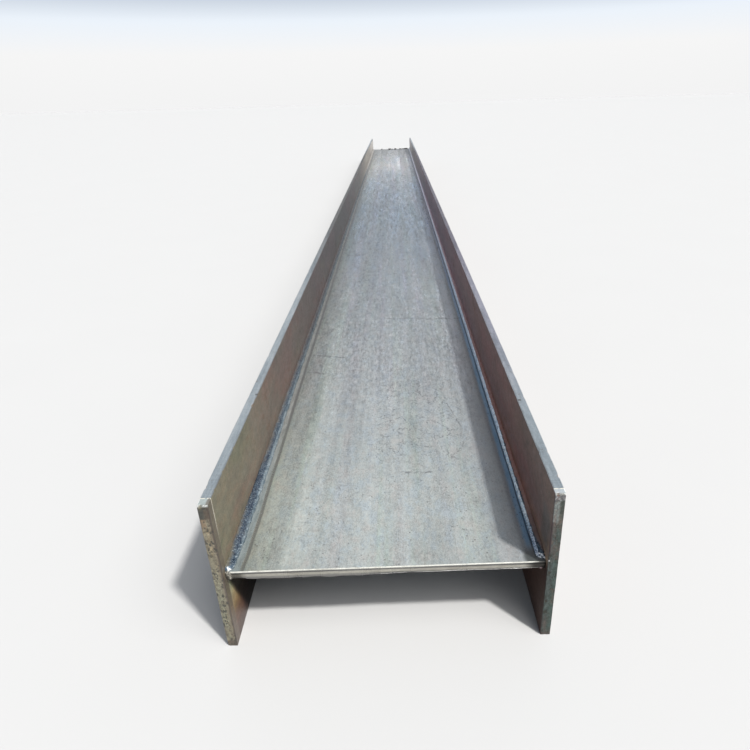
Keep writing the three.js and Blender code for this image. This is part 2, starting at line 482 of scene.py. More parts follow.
    col = m.mix(m.mul(line, m.plus(0.56, m.mul(temper, 0.30))), col, (0.048, 0.046, 0.048))
    toe = m.mul(m.band(d, 0.0108, 0.0004, 0.0010), rightness)
    col = m.mix(m.mul(toe, 0.75), col, (0.022, 0.030, 0.042))
    # painted shadow of the right flange's front end, as a dark sooty patch at the web's front right corner
    soot_and_shadow = m.plus(m.minus(INNER, m.x), m.swing(m.scaled(90, 90, 1, shift=(3, 5, 0)), 0.010, detail=4, rough=0.7))
    soot_and_shadow = m.mul(m.step(soot_and_shadow, 0.027, 0.019), m.step(m.y, WEB_FRONT + 0.030, WEB_FRONT + 0.012))
    col = m.mix(m.mul(soot_and_shadow, 0.85), col, (0.036, 0.042, 0.038))
    # dark rubs across the plate, and a few along it
    marks = [
        scratch(m, 0.017, 0.190, 0.066, 0.189, 0.0040, 0.003, 1.0),
        scratch(m, -0.012, 0.850, 0.176, 0.836, 0.006, 0.010, 2.0),
        scratch(m, -0.170, 0.634, -0.09, 0.618, 0.005, 0.008, 3.0),
        scratch(m, -0.160, 0.548, -0.120, 0.538, 0.004, 0.008, 4.0),
        scratch(m, 0.035, 1.42, 0.075, 1.43, 0.010, 0.012, 5.0),
        scratch(m, -0.02, 0.33, 0.028, 0.355, 0.0014, 0.006, 6.0),
        scratch(m, 0.10, 0.42, 0.122, 0.31, 0.0012, 0.006, 7.0),
        scratch(m, 0.05, 1.93, 0.10, 1.95, 0.010, 0.012, 9.0),
        scratch(m, -0.13, 1.5, -0.05, 1.53, 0.012, 0.015, 10.0),
    ]
    rub = marks[0]
    for k in marks[1:]:
        rub = m.math("MAXIMUM", rub, k)
    col = m.mix(m.mul(rub, 0.76), col, (0.056, 0.058, 0.064))
    # crazed scale: broken wandering lines in patches
    patch = m.noise(m.scaled(13, 6, 1, shift=(6, 1, 0)), detail=3, rough=0.6)
    where = m.mul(m.band(m.x, 0.055, 0.055, 0.035), m.band(m.y, Y_FRONT + 0.37, 0.10, 0.09))
    crazed = m.mul(crackle(m, 46, 34, 0.050, 3.0), m.plus(m.mul(m.step(patch, 0.55, 0.62), 0.40), m.mul(where, 0.85)))
    crazed = m.math("MAXIMUM", crazed, m.mul(crackle(m, 17, 5, 0.045, 8.0), m.mul(m.step(patch, 0.48, 0.40), m.step(m.y, Y_FRONT + 0.5, Y_FRONT + 1.0))))
    col = m.mix(m.mul(m.math("MINIMUM", crazed, 1.0), 0.72), col, (0.060, 0.063, 0.070))
    # fine random scuffs, dark pits and pale flecks
    scuff = m.noise(m.scaled(38, 300, 1, shift=(1, 5, 0)), detail=5, rough=0.75, distort=1.5)
    col = m.mix(m.mul(m.step(scuff, 0.60, 0.72), 0.35), col, (0.10, 0.105, 0.11))
    pit = m.cells(m.scaled(150, 130, 1), randomness=1.0)
    pits = m.mul(m.step(pit.outputs["Distance"], 0.24, 0.08), m.step(m.noise(m.scaled(22, 22, 1), detail=3), 0.47, 0.58))
    col = m.mix(m.mul(pits, 0.65), col, (0.055, 0.052, 0.048))
    fleck = m.cells(m.scaled(170, 120, 1, shift=(5, 5, 0)), randomness=1.0)
    flecks = m.mul(m.step(fleck.outputs["Distance"], 0.20, 0.06), m.step(m.noise(m.scaled(18, 9, 1, shift=(9, 9, 0)), detail=3), 0.52, 0.60))
    col = m.mix(m.mul(flecks, 0.13), col, (0.45, 0.48, 0.47))
    # back end: a darker, dirtier strip with black crust on its edge
    end = m.step(m.plus(m.y, m.swing(m.scaled(12, 5, 1), 0.12, detail=4, rough=0.6)), Y_BACK - 0.20, Y_BACK - 0.05)
    dirtier = m.step(m.plus(m.y, m.swing(m.scaled(14, 5, 1), 0.10, detail=4, rough=0.6)), Y_BACK - 0.76, Y_BACK - 0.64)
    col = m.mix(m.mul(dirtier, 0.45), col, m.shade((0.125, 0.122, 0.112), m.math("MAXIMUM", tone, 0.25)))
    col = m.mix(m.mul(end, 0.45), col, (0.10, 0.10, 0.09))
    crust = m.mul(m.step(m.y, Y_BACK - 0.085, Y_BACK - 0.045), m.step(m.noise(m.scaled(22, 14, 1, shift=(2, 9, 0)), detail=4, rough=0.6), 0.42, 0.50))
    crust = m.mul(crust, m.step(m.x, -0.03, 0.0))
    col = m.mix(m.mul(crust, 0.95), col, (0.015, 0.015, 0.015))
    # cut end faces: a pale sheared lip with a painted highlight, a dark groove of painted shade, a lighter torn band
    # and a dark lower edge of painted shade
    front = m.math("MAXIMUM", m.step(m.y, WEB_FRONT + 0.0016, WEB_FRONT + 0.0006), m.step(m.y, WEB_BACK - 0.0016, WEB_BACK - 0.0006))
    waver = m.swing(m.scaled(11, 1, 1, shift=(2, 0, 0)), 0.0012, detail=4, rough=0.7)
    depth = m.plus(m.minus(WEB_TOP, m.z), waver)
    cut = m.ramp(m.math("DIVIDE", depth, WEB_TOP - WEB_BOTTOM), CUT_RAMP)
    cut = m.shade(cut, m.plus(1.0, m.plus(m.swing(m.scaled(150, 10, 420), 1.5, detail=4, rough=0.9), m.swing(m.scaled(24, 1, 60, shift=(5, 0, 0)), 0.9, detail=4, rough=0.8))))
    cut = m.mix(m.mul(m.mul(m.step(depth, 0.0088, 0.0106), m.step(m.x, 0.06, -0.02)), 0.5), cut, (0.030, 0.028, 0.024))
    stain = m.noise(m.scaled(17, 1, 90, shift=(3, 0, 3)), detail=4, rough=0.7)
    cut = m.mix(m.mul(m.step(stain, 0.50, 0.64), 0.55), cut, m.tint(m.shade(cut, 0.55), (1.0, 0.92, 0.80)))
    # painted shadow of the right flange's protruding end on the web's end face, dark and metallic
    end_shadow_x = m.plus(ax, m.mul(m.minus(stain, 0.5), 0.01))
    flange_end_shadow = m.mul(m.mul(m.step(end_shadow_x, INNER - 0.028, INNER - 0.013), rightness), m.step(depth, 0.0008, 0.0018))
    flange_end_shadow = m.math("MAXIMUM", flange_end_shadow, m.mul(m.mul(m.step(end_shadow_x, INNER - 0.018, INNER - 0.006), rightness), 0.85))
    cut = m.mix(m.mul(flange_end_shadow, 0.92), cut, (0.026, 0.023, 0.021))
    dusky = m.mul(m.mul(m.step(m.plus(ax, m.mul(m.minus(stain, 0.5), 0.010)), INNER - 0.026, INNER - 0.014), leftness), m.step(depth, 0.0012, 0.0022))
    cut = m.mix(m.mul(dusky, 0.80), cut, m.shade((0.085, 0.080, 0.068), m.plus(m.mul(m.minus(stain, 0.5), 2.0), 1.0)))
    melt = m.mul(m.step(m.plus(ax, m.mul(m.minus(stain, 0.5), 0.006)), INNER - 0.008, INNER - 0.005), leftness)
    cut = m.mix(m.mul(melt, 0.8), cut, m.ramp(temper, [(0.38, (0.025, 0.022, 0.016)), (0.64, (0.26, 0.24, 0.19))]))
    col = m.mix(front, col, cut)
    m.link(col, b.inputs["Base Color"])
    rough = m.plus(0.36, m.mul(m.minus(1.0, tone), 0.26))
    rough = m.plus(rough, m.mul(m.math("MAXIMUM", m.mul(rub, 0.8), crazed), 0.20))
    m.link(m.math("MINIMUM", m.math("MAXIMUM", rough, 0.20), 0.80), b.inputs["Roughness"])
    shadow_and_dusky_metal = m.mul(front, m.math("MAXIMUM", flange_end_shadow, dusky))
    m.link(m.math("MAXIMUM", m.mul(haze_r, 0.9), m.mul(shadow_and_dusky_metal, 0.9)), b.inputs["Metallic"])
    b.inputs["IOR"].default_value = 2.3
    height = m.plus(m.plus(m.mul(mottle, 0.5), m.mul(grain, 0.4)), m.plus(m.mul(fine, 0.3), m.mul(pits, -0.8)))
    height = m.minus(height, m.plus(m.mul(rub, 0.6), m.mul(crazed, 0.5)))
    m.link(m.bump(height, 0.00035, 0.7), b.inputs["Normal"])
    return m.mat


def flange_material(name, side):
    """side is -1 for the left flange and +1 for the right one."""
    m = Nodes(name)
    b = m.bsdf
    along = m.math("DIVIDE", m.minus(m.y, Y_FRONT), Y_BACK - Y_FRONT)
    wander = m.swing(m.scaled(1, 1.4, 7), 0.06, detail=2, rough=0.55)
    base = m.ramp(m.plus(along, wander), LEFT_RAMP if side < 0 else RIGHT_RAMP)
    outer = m.step(m.math("ABSOLUTE", m.x), INNER + 0.0095, INNER + 0.0110)
    base = m.mix(m.mul(outer, 0.85), base, (0.118, 0.104, 0.090) if side < 0 else (0.112, 0.088, 0.080))
    vivid = m.mul(m.minus(1.0, m.mul(outer, 0.55)), m.minus(1.0, m.mul(m.step(along, 0.45, 0.75), 0.65 if side < 0 else 0.20)))
    broad = m.swing(m.scaled(1, 1.3, 16), 0.55, detail=4, rough=0.6)
    streak = m.swing(m.scaled(1, 3.0, 110), 0.35, detail=4, rough=0.8)
    upright = m.swing(m.scaled(1, 60, 7, shift=(0, 2, 1)), 0.35, detail=4, rough=0.8)
    wash = m.swing(m.scaled(1, 5.0, 16, shift=(0, 3, 5)), 1.2, detail=5, rough=0.9, distort=0.6)
    mottle = m.swing(m.scaled(75, 60, 78), 1.25, detail=4, rough=0.98, distort=0.5)
    grain = m.swing(m.scaled(700, 640, 700), 1.6, detail=2, rough=0.8)
    tone = m.plus(1.0, m.plus(m.plus(broad, streak), m.plus(m.mul(m.plus(wash, upright), m.minus(1.0, m.mul(outer, 0.35))), m.plus(mottle, grain))))
    col = m.shade(base, m.math("MAXIMUM", tone, 0.22))
    # olive, brown and plum patches in the scale, and a thin bloom of rust
    plum = m.noise(m.scaled(1, 4.2, 12, shift=(0, 8, 2)), detail=5, rough=0.75, distort=0.5)
    col = m.mix(m.mul(m.step(plum, 0.50, 0.62), m.mul(vivid, 0.8)), col, m.tint(col, (1.14, 0.88, 0.90)))
    col = m.mix(m.mul(m.step(plum, 0.48, 0.36), m.mul(vivid, 0.8)), col, m.tint(col, (0.90, 1.02, 0.86)))
    drift = m.noise(m.scaled(40, 26, 44, shift=(0, 4, 4)), detail=5, rough=0.85)
    col = m.mix(m.step(drift, 0.50, 0.60), col, m.tint(col, (1.07, 0.98, 0.92)))
    col = m.mix(m.step(drift, 0.48, 0.38), col, m.tint(col, (0.95, 1.01, 1.04)))
    rust = m.noise(m.scaled(60, 34, 60, shift=(0, 1, 9)), detail=8, rough=0.75)
    rust_mask = m.mul(m.step(rust, 0.52, 0.66), m.step(m.noise(m.scaled(1, 5, 9, shift=(0, 6, 1)), detail=3), 0.44, 0.60))
    col = m.mix(m.mul(rust_mask, 0.5), col, (0.150, 0.072, 0.042))
    # paler high up towards the back end
    up_back = m.mul(m.step(m.z, 0.128, 0.150), m.minus(1.0, outer))
    if side < 0:
        lifted = m.plus(m.plus(1.0, m.mul(m.step(m.y, Y_FRONT + 3.7, Y_FRONT + 4.4), 0.22)), m.mul(m.step(m.y, Y_FRONT + 4.9, Y_FRONT + 5.3), 0.16))
    else:
        lifted = m.plus(1.0, m.mul(m.step(m.y, Y_FRONT + 4.9, Y_FRONT + 5.3), 0.45))
    col = m.mix(up_back, col, m.shade(col, lifted))
    # below the web, painted shade: on the left browner, darker towards the floor and paler towards the web; on the
    # right darker all over near the front end
    below = m.step(m.plus(m.z, m.mul(wash, 0.02)), WEB_BOTTOM - 0.015, WEB_BOTTOM - 0.055)
    ax = m.math("ABSOLUTE", m.x)
    inner_side = m.step(ax, INNER + 0.004, INNER + 0.002)
    if side < 0:
        col = m.mix(below, col, m.tint(col, m.mix(m.step(m.z, 0.022, 0.085), (0.90, 0.70, 0.60), (1.66, 1.04, 0.80))))
        # painted light: the upper part of the face below the web is brightened near the front end, where the sun
        # reaches it
        col = m.mix(m.mul(inner_side, m.mul(m.step(m.z, WEB_BOTTOM + 0.001, WEB_BOTTOM - 0.004), m.step(m.y, Y_FRONT + 0.055, Y_FRONT + 0.020))), col, m.shade(col, m.plus(1.0, m.mul(m.step(m.z, 0.035, 0.080), 0.45))))
        # painted shadow of the web's front edge across the face below it, near the front end; metallic there too
        slant = m.plus(m.plus(m.y, m.mul(wash, 0.01)), m.mul(m.z, 0.52))
        web_cast_shadow = m.mul(m.mul(m.step(m.z, WEB_BOTTOM + 0.002, WEB_BOTTOM - 0.002), inner_side), m.step(slant, Y_FRONT + 0.059, Y_FRONT + 0.068))
        web_cast_shadow = m.mul(web_cast_shadow, m.step(m.y, Y_FRONT + 0.55, Y_FRONT + 0.18))
        col = m.mix(m.mul(web_cast_shadow, 0.88), col, (0.020, 0.015, 0.013))
        # painted light: the sunlit patch below the web near the front end, tinted by height
        lit = m.mul(m.mul(inner_side, m.step(m.z, WEB_BOTTOM + 0.001, WEB_BOTTOM - 0.004)), m.step(m.y, Y_FRONT + 0.090, Y_FRONT + 0.060))
        sunlit_tint = m.ramp(m.math("DIVIDE", m.z, 0.1), [
            (0.02, (0.12, 0.08, 0.08)), (0.08, (0.17, 0.10, 0.09)), (0.24, (0.25, 0.145, 0.115)), (0.40, (0.36, 0.265, 0.220)),
            (0.48, (0.46, 0.43, 0.39)), (0.64, (0.55, 0.60, 0.66)), (0.80, (0.84, 0.92, 0.98)), (0.92, (0.84, 0.93, 1.0))])
        col = m.mix(lit, col, m.shade(m.tint(col, sunlit_tint), m.plus(2.4, m.mul(m.mul(m.step(m.y, Y_FRONT + 0.016, Y_FRONT + 0.036), m.step(m.z, 0.012, 0.024)), 0.70))))
        low = m.mul(m.mul(inner_side, m.step(m.z, 0.150, 0.137)), m.mul(m.step(m.z, WEB_TOP, WEB_TOP + 0.003), m.step(m.y, Y_FRONT + 1.8, Y_FRONT + 0.6)))
        col = m.mix(low, col, m.shade(col, 1.18))
        greenish = m.mul(m.mul(inner_side, m.step(m.y, Y_FRONT + 0.022, Y_FRONT + 0.010)), m.band(m.z, 0.090, 0.016, 0.014))
        col = m.mix(m.mul(greenish, 0.7), col, m.shade((0.235, 0.225, 0.165), tone))
    else:
        # painted shade on the face below the web near the front end
        col = m.mix(m.mul(m.mul(m.step(m.z, WEB_TOP, WEB_BOTTOM), inner_side), m.step(m.y, Y_FRONT + 0.55, Y_FRONT + 0.18)), col, m.tint(m.shade(col, 0.38), (1.0, 0.84, 0.72)))
        # a greener tint, and painted light in the corner just above the web, lifting its shade
        lift = m.mul(m.mul(inner_side, m.step(m.z, WEB_TOP + 0.045, WEB_TOP + 0.004)), m.step(m.z, WEB_TOP - 0.002, WEB_TOP))
        col = m.mix(m.mul(lift, m.step(m.y, Y_FRONT + 1.6, Y_FRONT + 0.4)), col, m.tint(col, (1.02, 1.28, 1.10)))
        col = m.mix(lift, col, m.shade(col, m.plus(1.45, m.mul(m.step(m.z, WEB_TOP + 0.016, WEB_TOP + 0.004), 0.75))))
        mould = m.mul(m.mul(inner_side, m.band(m.y, Y_FRONT + 0.024, 0.010, 0.014)), m.band(m.z, 0.152, 0.016, 0.018))
        col = m.mix(m.mul(mould, 0.6), col, m.shade((0.062, 0.064, 0.056), tone))
    # the strip warmed by the welds, at the web's level
    above = m.math("ABSOLUTE", m.minus(m.z, (WEB_TOP + WEB_BOTTOM) / 2))
    ragged = m.swing(m.scaled(1, 6, 6, shift=(0, 2, 2)), 0.010, detail=4, rough=0.6)
    warm = m.mul(m.step(m.plus(above, ragged), 0.024, 0.014), inner_side)
    col = m.mix(m.mul(warm, 0.3 if side < 0 else 0.5), col, m.tint(m.shade(col, 0.80), (0.90, 0.95, 1.10)))
    # long cut edges: pale blue-grey metal with fine drag lines across the thickness
    edge_top = m.step(m.z, TOP - 0.0009, TOP - 0.0002)
    edge_bottom = m.step(m.z, 0.0009, 0.0002)
    edge = m.math("MAXIMUM", edge_top, edge_bottom)
    drag = m.noise(m.scaled(10, 420, 1), detail=3, rough=0.7)
    film = m.noise(m.scaled(70, 7, 1, shift=(3, 3, 0)), detail=6, rough=0.8)
    edge_col = m.ramp(film, [(0.34, (0.115, 0.140, 0.160)), (0.52, (0.190, 0.222, 0.245)), (0.68, (0.265, 0.285, 0.300))])
    edge_col = m.shade(edge_col, m.plus(m.plus(m.mul(m.minus(drag, 0.5), 0.6), m.mul(grain, 0.6)), 1.0))
    worn = m.step(m.plus(along, m.mul(wander, 2)), EDGE_WORN[side][0], EDGE_WORN[side][1])
    worn = m.mul(worn, m.step(along, 0.88, 0.66))
    edge_col = m.mix(worn, edge_col, m.tint(edge_col, EDGE_WORN[side][2]))
    if side > 0:
        lilac = m.mul(m.step(m.y, Y_FRONT + 0.12, Y_FRONT + 0.55), m.step(m.y, Y_FRONT + 1.7, Y_FRONT + 1.0))
        edge_col = m.mix(lilac, edge_col, m.tint(edge_col, (0.99, 0.87, 0.96)))
    speck = m.noise(m.scaled(90, 60, 1), detail=7, rough=0.8)
    edge_col = m.mix(m.mul(m.step(speck, 0.57, 0.66), 0.65), edge_col, (0.075, 0.062, 0.050))
    # a darker rolled arris along the inner side of the edge, a pale one along the outer
    cross = m.math("DIVIDE", m.minus(ax, INNER), 0.012)
    edge_col = m.mix(m.mul(m.step(m.plus(cross, m.mul(m.minus(film, 0.5), 0.5)), 0.20, 0.06), 0.45), edge_col, (0.070, 0.066, 0.064))
    dot = m.math("MAXIMUM", m.mul(m.band(m.y, Y_FRONT + SPOT[side][0], 0.0016, 0.0012), m.band(m.x, SPOT[side][1], 0.0016, 0.0012)), 0.0)
    edge_col = m.mix(m.mul(dot, 0.85), edge_col, (0.018, 0.014, 0.012))
    col = m.mix(edge, col, edge_col)
    # the last 13 mm of the flange, past the web: paler on top, browner inside, with a bright line where it begins
    tip_at = TIP[side]
    tip = m.step(m.y, Y_FRONT + tip_at + 0.0004, Y_FRONT + tip_at - 0.0002)
    tip_tone = m.plus(1.0, m.mul(m.minus(speck, 0.5), 1.6))
    col = m.mix(m.mul(tip, m.mul(edge_top, 0.8)), col, m.shade((0.335, 0.375, 0.360) if side < 0 else (0.36, 0.39, 0.41), tip_tone))
    rim = m.math("MAXIMUM", m.step(cross, 0.90, 0.97), m.mul(m.step(m.y, Y_FRONT + 0.0022, Y_FRONT + 0.0010), 1.0))
    rim = m.mul(m.mul(rim, tip), m.mul(edge_top, m.step(m.noise(m.scaled(300, 300, 1, shift=(1, 6, 0)), detail=3, rough=0.8), 0.36, 0.50)))
    col = m.mix(m.mul(rim, 0.85), col, (0.80, 0.82, 0.80))
    if side < 0:
        col = m.mix(m.mul(tip, m.mul(inner_side, 0.75)), col, m.shade((0.092, 0.068, 0.045), tone))
    bright = m.band(m.y, Y_FRONT + tip_at + 0.0002, 0.0004, 0.0005)
    ragged_line = m.step(m.noise(m.scaled(260, 1, 260, shift=(1, 0, 4)), detail=3, rough=0.7), 0.36, 0.50)
    if side < 0:
        fade = m.mul(m.plus(m.mul(m.step(m.z, 0.152, 0.188), 0.80), 0.06), inner_side)
    else:
        fade = m.mul(edge_top, 0.75)
    col = m.mix(m.mul(bright, m.mul(m.math("MAXIMUM", fade, m.mul(edge_top, 0.9)), ragged_line)), col, (0.74, 0.70, 0.58))
    # the corner between the upper edge and the front end: bare bright burr, ragged below
    burr = m.noise(m.scaled(330, 330, 330, shift=(4, 0, 2)), detail=3, rough=0.8)
    corner = m.mul(m.step(m.z, TOP - 0.0030, TOP - 0.0020), m.step(m.y, Y_FRONT + 0.0030, Y_FRONT + 0.0016))
    lip = m.mul(m.step(m.plus(m.z, m.mul(m.minus(burr, 0.5), 0.006)), TOP - 0.0022, TOP - 0.0014), m.step(m.y, Y_FRONT + 0.0020, Y_FRONT + 0.0010))
    lip = m.mul(lip, m.step(burr, 0.43, 0.55))
    dull = m.mul(m.step(m.z, 0.0030, 0.0018), m.step(m.y, Y_FRONT + 0.0030, Y_FRONT + 0.0016))
    col = m.mix(m.mul(dull, 0.8), col, (0.075, 0.062, 0.050))
    arris = m.mul(m.step(cross, 0.16, 0.06), m.step(m.y, Y_FRONT + 0.0030, Y_FRONT + 0.0014))
    col = m.mix(m.mul(arris, 0.75), col, (0.040, 0.028, 0.024) if side < 0 else (0.026, 0.014, 0.018))
    # cut ends, with u running from the inner arris to the outer one
    front = m.step(m.y, Y_FRONT + 0.0010, Y_FRONT + 0.0003)
    back = m.step(m.y, Y_BACK - 0.0010, Y_BACK - 0.0003)
    ends = m.math("MAXIMUM", front, back)
    pock = m.noise(m.scaled(230, 1, 190), detail=6, rough=0.88, distort=0.4)
    vertical = m.noise(m.scaled(300, 1, 14), detail=4, rough=0.7)
    un = m.plus(cross, m.swing(m.scaled(1, 1, 60), 0.25, detail=3, rough=0.6))
    zc = m.plus(m.z, m.swing(m.scaled(190, 1, 60), 0.008, detail=4, rough=0.7))
    cloud = m.noise(m.scaled(60, 1, 26, shift=(2, 0, 7)), detail=5, rough=0.8)
    if side < 0:
        end_col = m.ramp(pock, [(0.38, (0.044, 0.038, 0.022)), (0.46, (0.126, 0.110, 0.070)), (0.54, (0.205, 0.182, 0.122)), (0.62, (0.330, 0.305, 0.225))])
        end_col = m.mix(m.step(m.z, 0.165, 0.060), end_col, m.tint(end_col, (0.90, 0.98, 0.98)))
        end_col = m.mix(m.mul(m.step(cloud, 0.50, 0.60), 0.6), end_col, m.tint(end_col, (1.0, 0.82, 0.62)))
        end_col = m.mix(m.mul(m.step(un, 0.42, 0.30), 0.35), end_col, (0.150, 0.112, 0.075))
        end_col = m.mix(m.mul(m.step(un, 0.17, 0.09), 0.88), end_col, (0.062, 0.044, 0.028))
        orange = m.mul(m.band(m.z, 0.192, 0.004, 0.008), m.step(un, 0.35, 0.60))
        end_col = m.mix(m.mul(orange, 0.7), end_col, (0.185, 0.112, 0.058))
        dusk = m.mix(m.step(un, 0.38, 0.58), (0.050, 0.031, 0.017), (0.014, 0.016, 0.013))
        upper = m.step(zc, TOP - 0.0200, TOP - 0.0180)
        low, low_col = m.step(zc, 0.0115, 0.0090), (0.048, 0.031, 0.019)
        dusk_gain = 2.2
    else:
        end_col = m.mix(m.step(un, 0.35, 0.62), m.ramp(pock, [(0.36, (0.016, 0.018, 0.016)), (0.50, (0.046, 0.052, 0.046)), (0.64, (0.104, 0.112, 0.104))]),
                        m.ramp(pock, [(0.36, (0.015, 0.021, 0.017)), (0.50, (0.040, 0.054, 0.045)), (0.64, (0.085, 0.104, 0.092))]))
        end_col = m.mix(m.mul(m.step(un, 0.20, 0.08), m.mul(m.step(m.z, 0.120, 0.140), 0.85)), end_col, (0.030, 0.012, 0.018))
        light = m.mul(m.mul(m.step(zc, TOP - 0.043, TOP - 0.036), m.step(zc, TOP - 0.008, TOP - 0.012)), m.step(un, 0.66, 0.48))
        end_col = m.mix(m.mul(light, 0.85), end_col, m.ramp(pock, [(0.38, (0.082, 0.100, 0.098)), (0.52, (0.172, 0.205, 0.200)), (0.64, (0.28, 0.32, 0.315))]))
        dusk = m.ramp(pock, [(0.40, (0.050, 0.050, 0.055)), (0.52, (0.135, 0.142, 0.148)), (0.62, (0.38, 0.39, 0.40))])
        upper = m.step(zc, TOP - 0.0110, TOP - 0.0080)
        low, low_col = m.step(zc, 0.0060, 0.0040), (0.055, 0.050, 0.045)
        end_col = m.mix(m.mul(m.step(m.z, 0.100, 0.060), 0.5), end_col, m.tint(end_col, (0.80, 0.92, 0.86)))
        end_col = m.mix(m.step(m.z, 0.175, 0.160), end_col, m.tint(end_col, (0.88, 1.0, 1.05)))
        dusk_gain = 1.0
    end_col = m.mix(m.mul(upper, 0.95), end_col, m.shade(dusk, m.plus(m.mul(m.minus(pock, 0.5), dusk_gain), 1.0)))
    end_col = m.mix(m.mul(low, 0.85), end_col, low_col)
    end_col = m.shade(end_col, m.plus(1.0, m.plus(m.mul(m.minus(vertical, 0.5), 0.6), m.mul(m.minus(cloud, 0.5), 0.9))))
    hole = m.cells(m.scaled(200, 1, 120, shift=(0.3, 0, 0.2)))
    holes = m.mul(m.step(hole.outputs["Distance"], 0.40, 0.24), m.step(m.noise(m.scaled(70, 1, 34), detail=2), 0.47, 0.53))
    pitted = 0.90 if side < 0 else m.plus(0.90, m.mul(m.step(m.z, 0.166, 0.178), -0.72))
    end_col = m.mix(m.mul(holes, pitted), end_col, (0.020, 0.020, 0.013))
    pin = m.cells(m.scaled(360, 1, 210, shift=(0.7, 0, 0.4)))
    pins = m.mul(m.step(pin.outputs["Distance"], 0.44, 0.28), m.step(m.noise(m.scaled(110, 1, 60, shift=(4, 0, 1)), detail=2), 0.46, 0.53))
    end_col = m.mix(m.mul(pins, pitted), end_col, (0.016, 0.016, 0.010))
    holes = m.math("MAXIMUM", holes, m.mul(pins, 0.6))
    col = m.mix(ends, col, end_col)
    if side > 0:
        spatter = m.mul(m.mul(m.band(m.x, 0.1889, 0.0004, 0.0008), m.band(m.z, 0.1209, 0.0007, 0.0007)), front)
        col = m.mix(m.mul(spatter, 0.9), col, (0.50, 0.49, 0.50))
    col = m.mix(m.mul(corner, 0.80), col, (0.190, 0.200, 0.190))
    col = m.mix(m.mul(lip, 0.80), col, (0.62, 0.64, 0.62))
    m.link(col, b.inputs["Base Color"])
    rough = m.plus(m.plus(m.mul(mottle, -0.20), m.mul(wash, -0.12)), m.blend(edge, 0.44, m.plus(0.42, m.mul(worn, 0.40))))
    rough = m.plus(rough, m.mul(rust_mask, 0.15))
    rough = m.blend(ends, rough, 0.70)
    m.link(m.math("MINIMUM", m.math("MAXIMUM", rough, 0.25), 0.95), b.inputs["Roughness"])
    if side < 0:
        m.link(m.mul(web_cast_shadow, 0.9), b.inputs["Metallic"])
    else:
        b.inputs["Metallic"].default_value = 0.0
    b.inputs["IOR"].default_value = 1.8 if side < 0 else 1.5
    height = m.plus(m.plus(m.mul(mottle, 0.55), m.mul(grain, 0.35)), m.mul(rust_mask, 0.35))
    height = m.plus(height, m.mul(ends, m.plus(m.mul(pock, 1.6), m.mul(holes, -1.6))))
    height = m.plus(height, m.mul(edge, m.mul(drag, 0.8)))
    m.link(m.bump(height, 0.0004, 0.7), b.inputs["Normal"])
    return m.mat


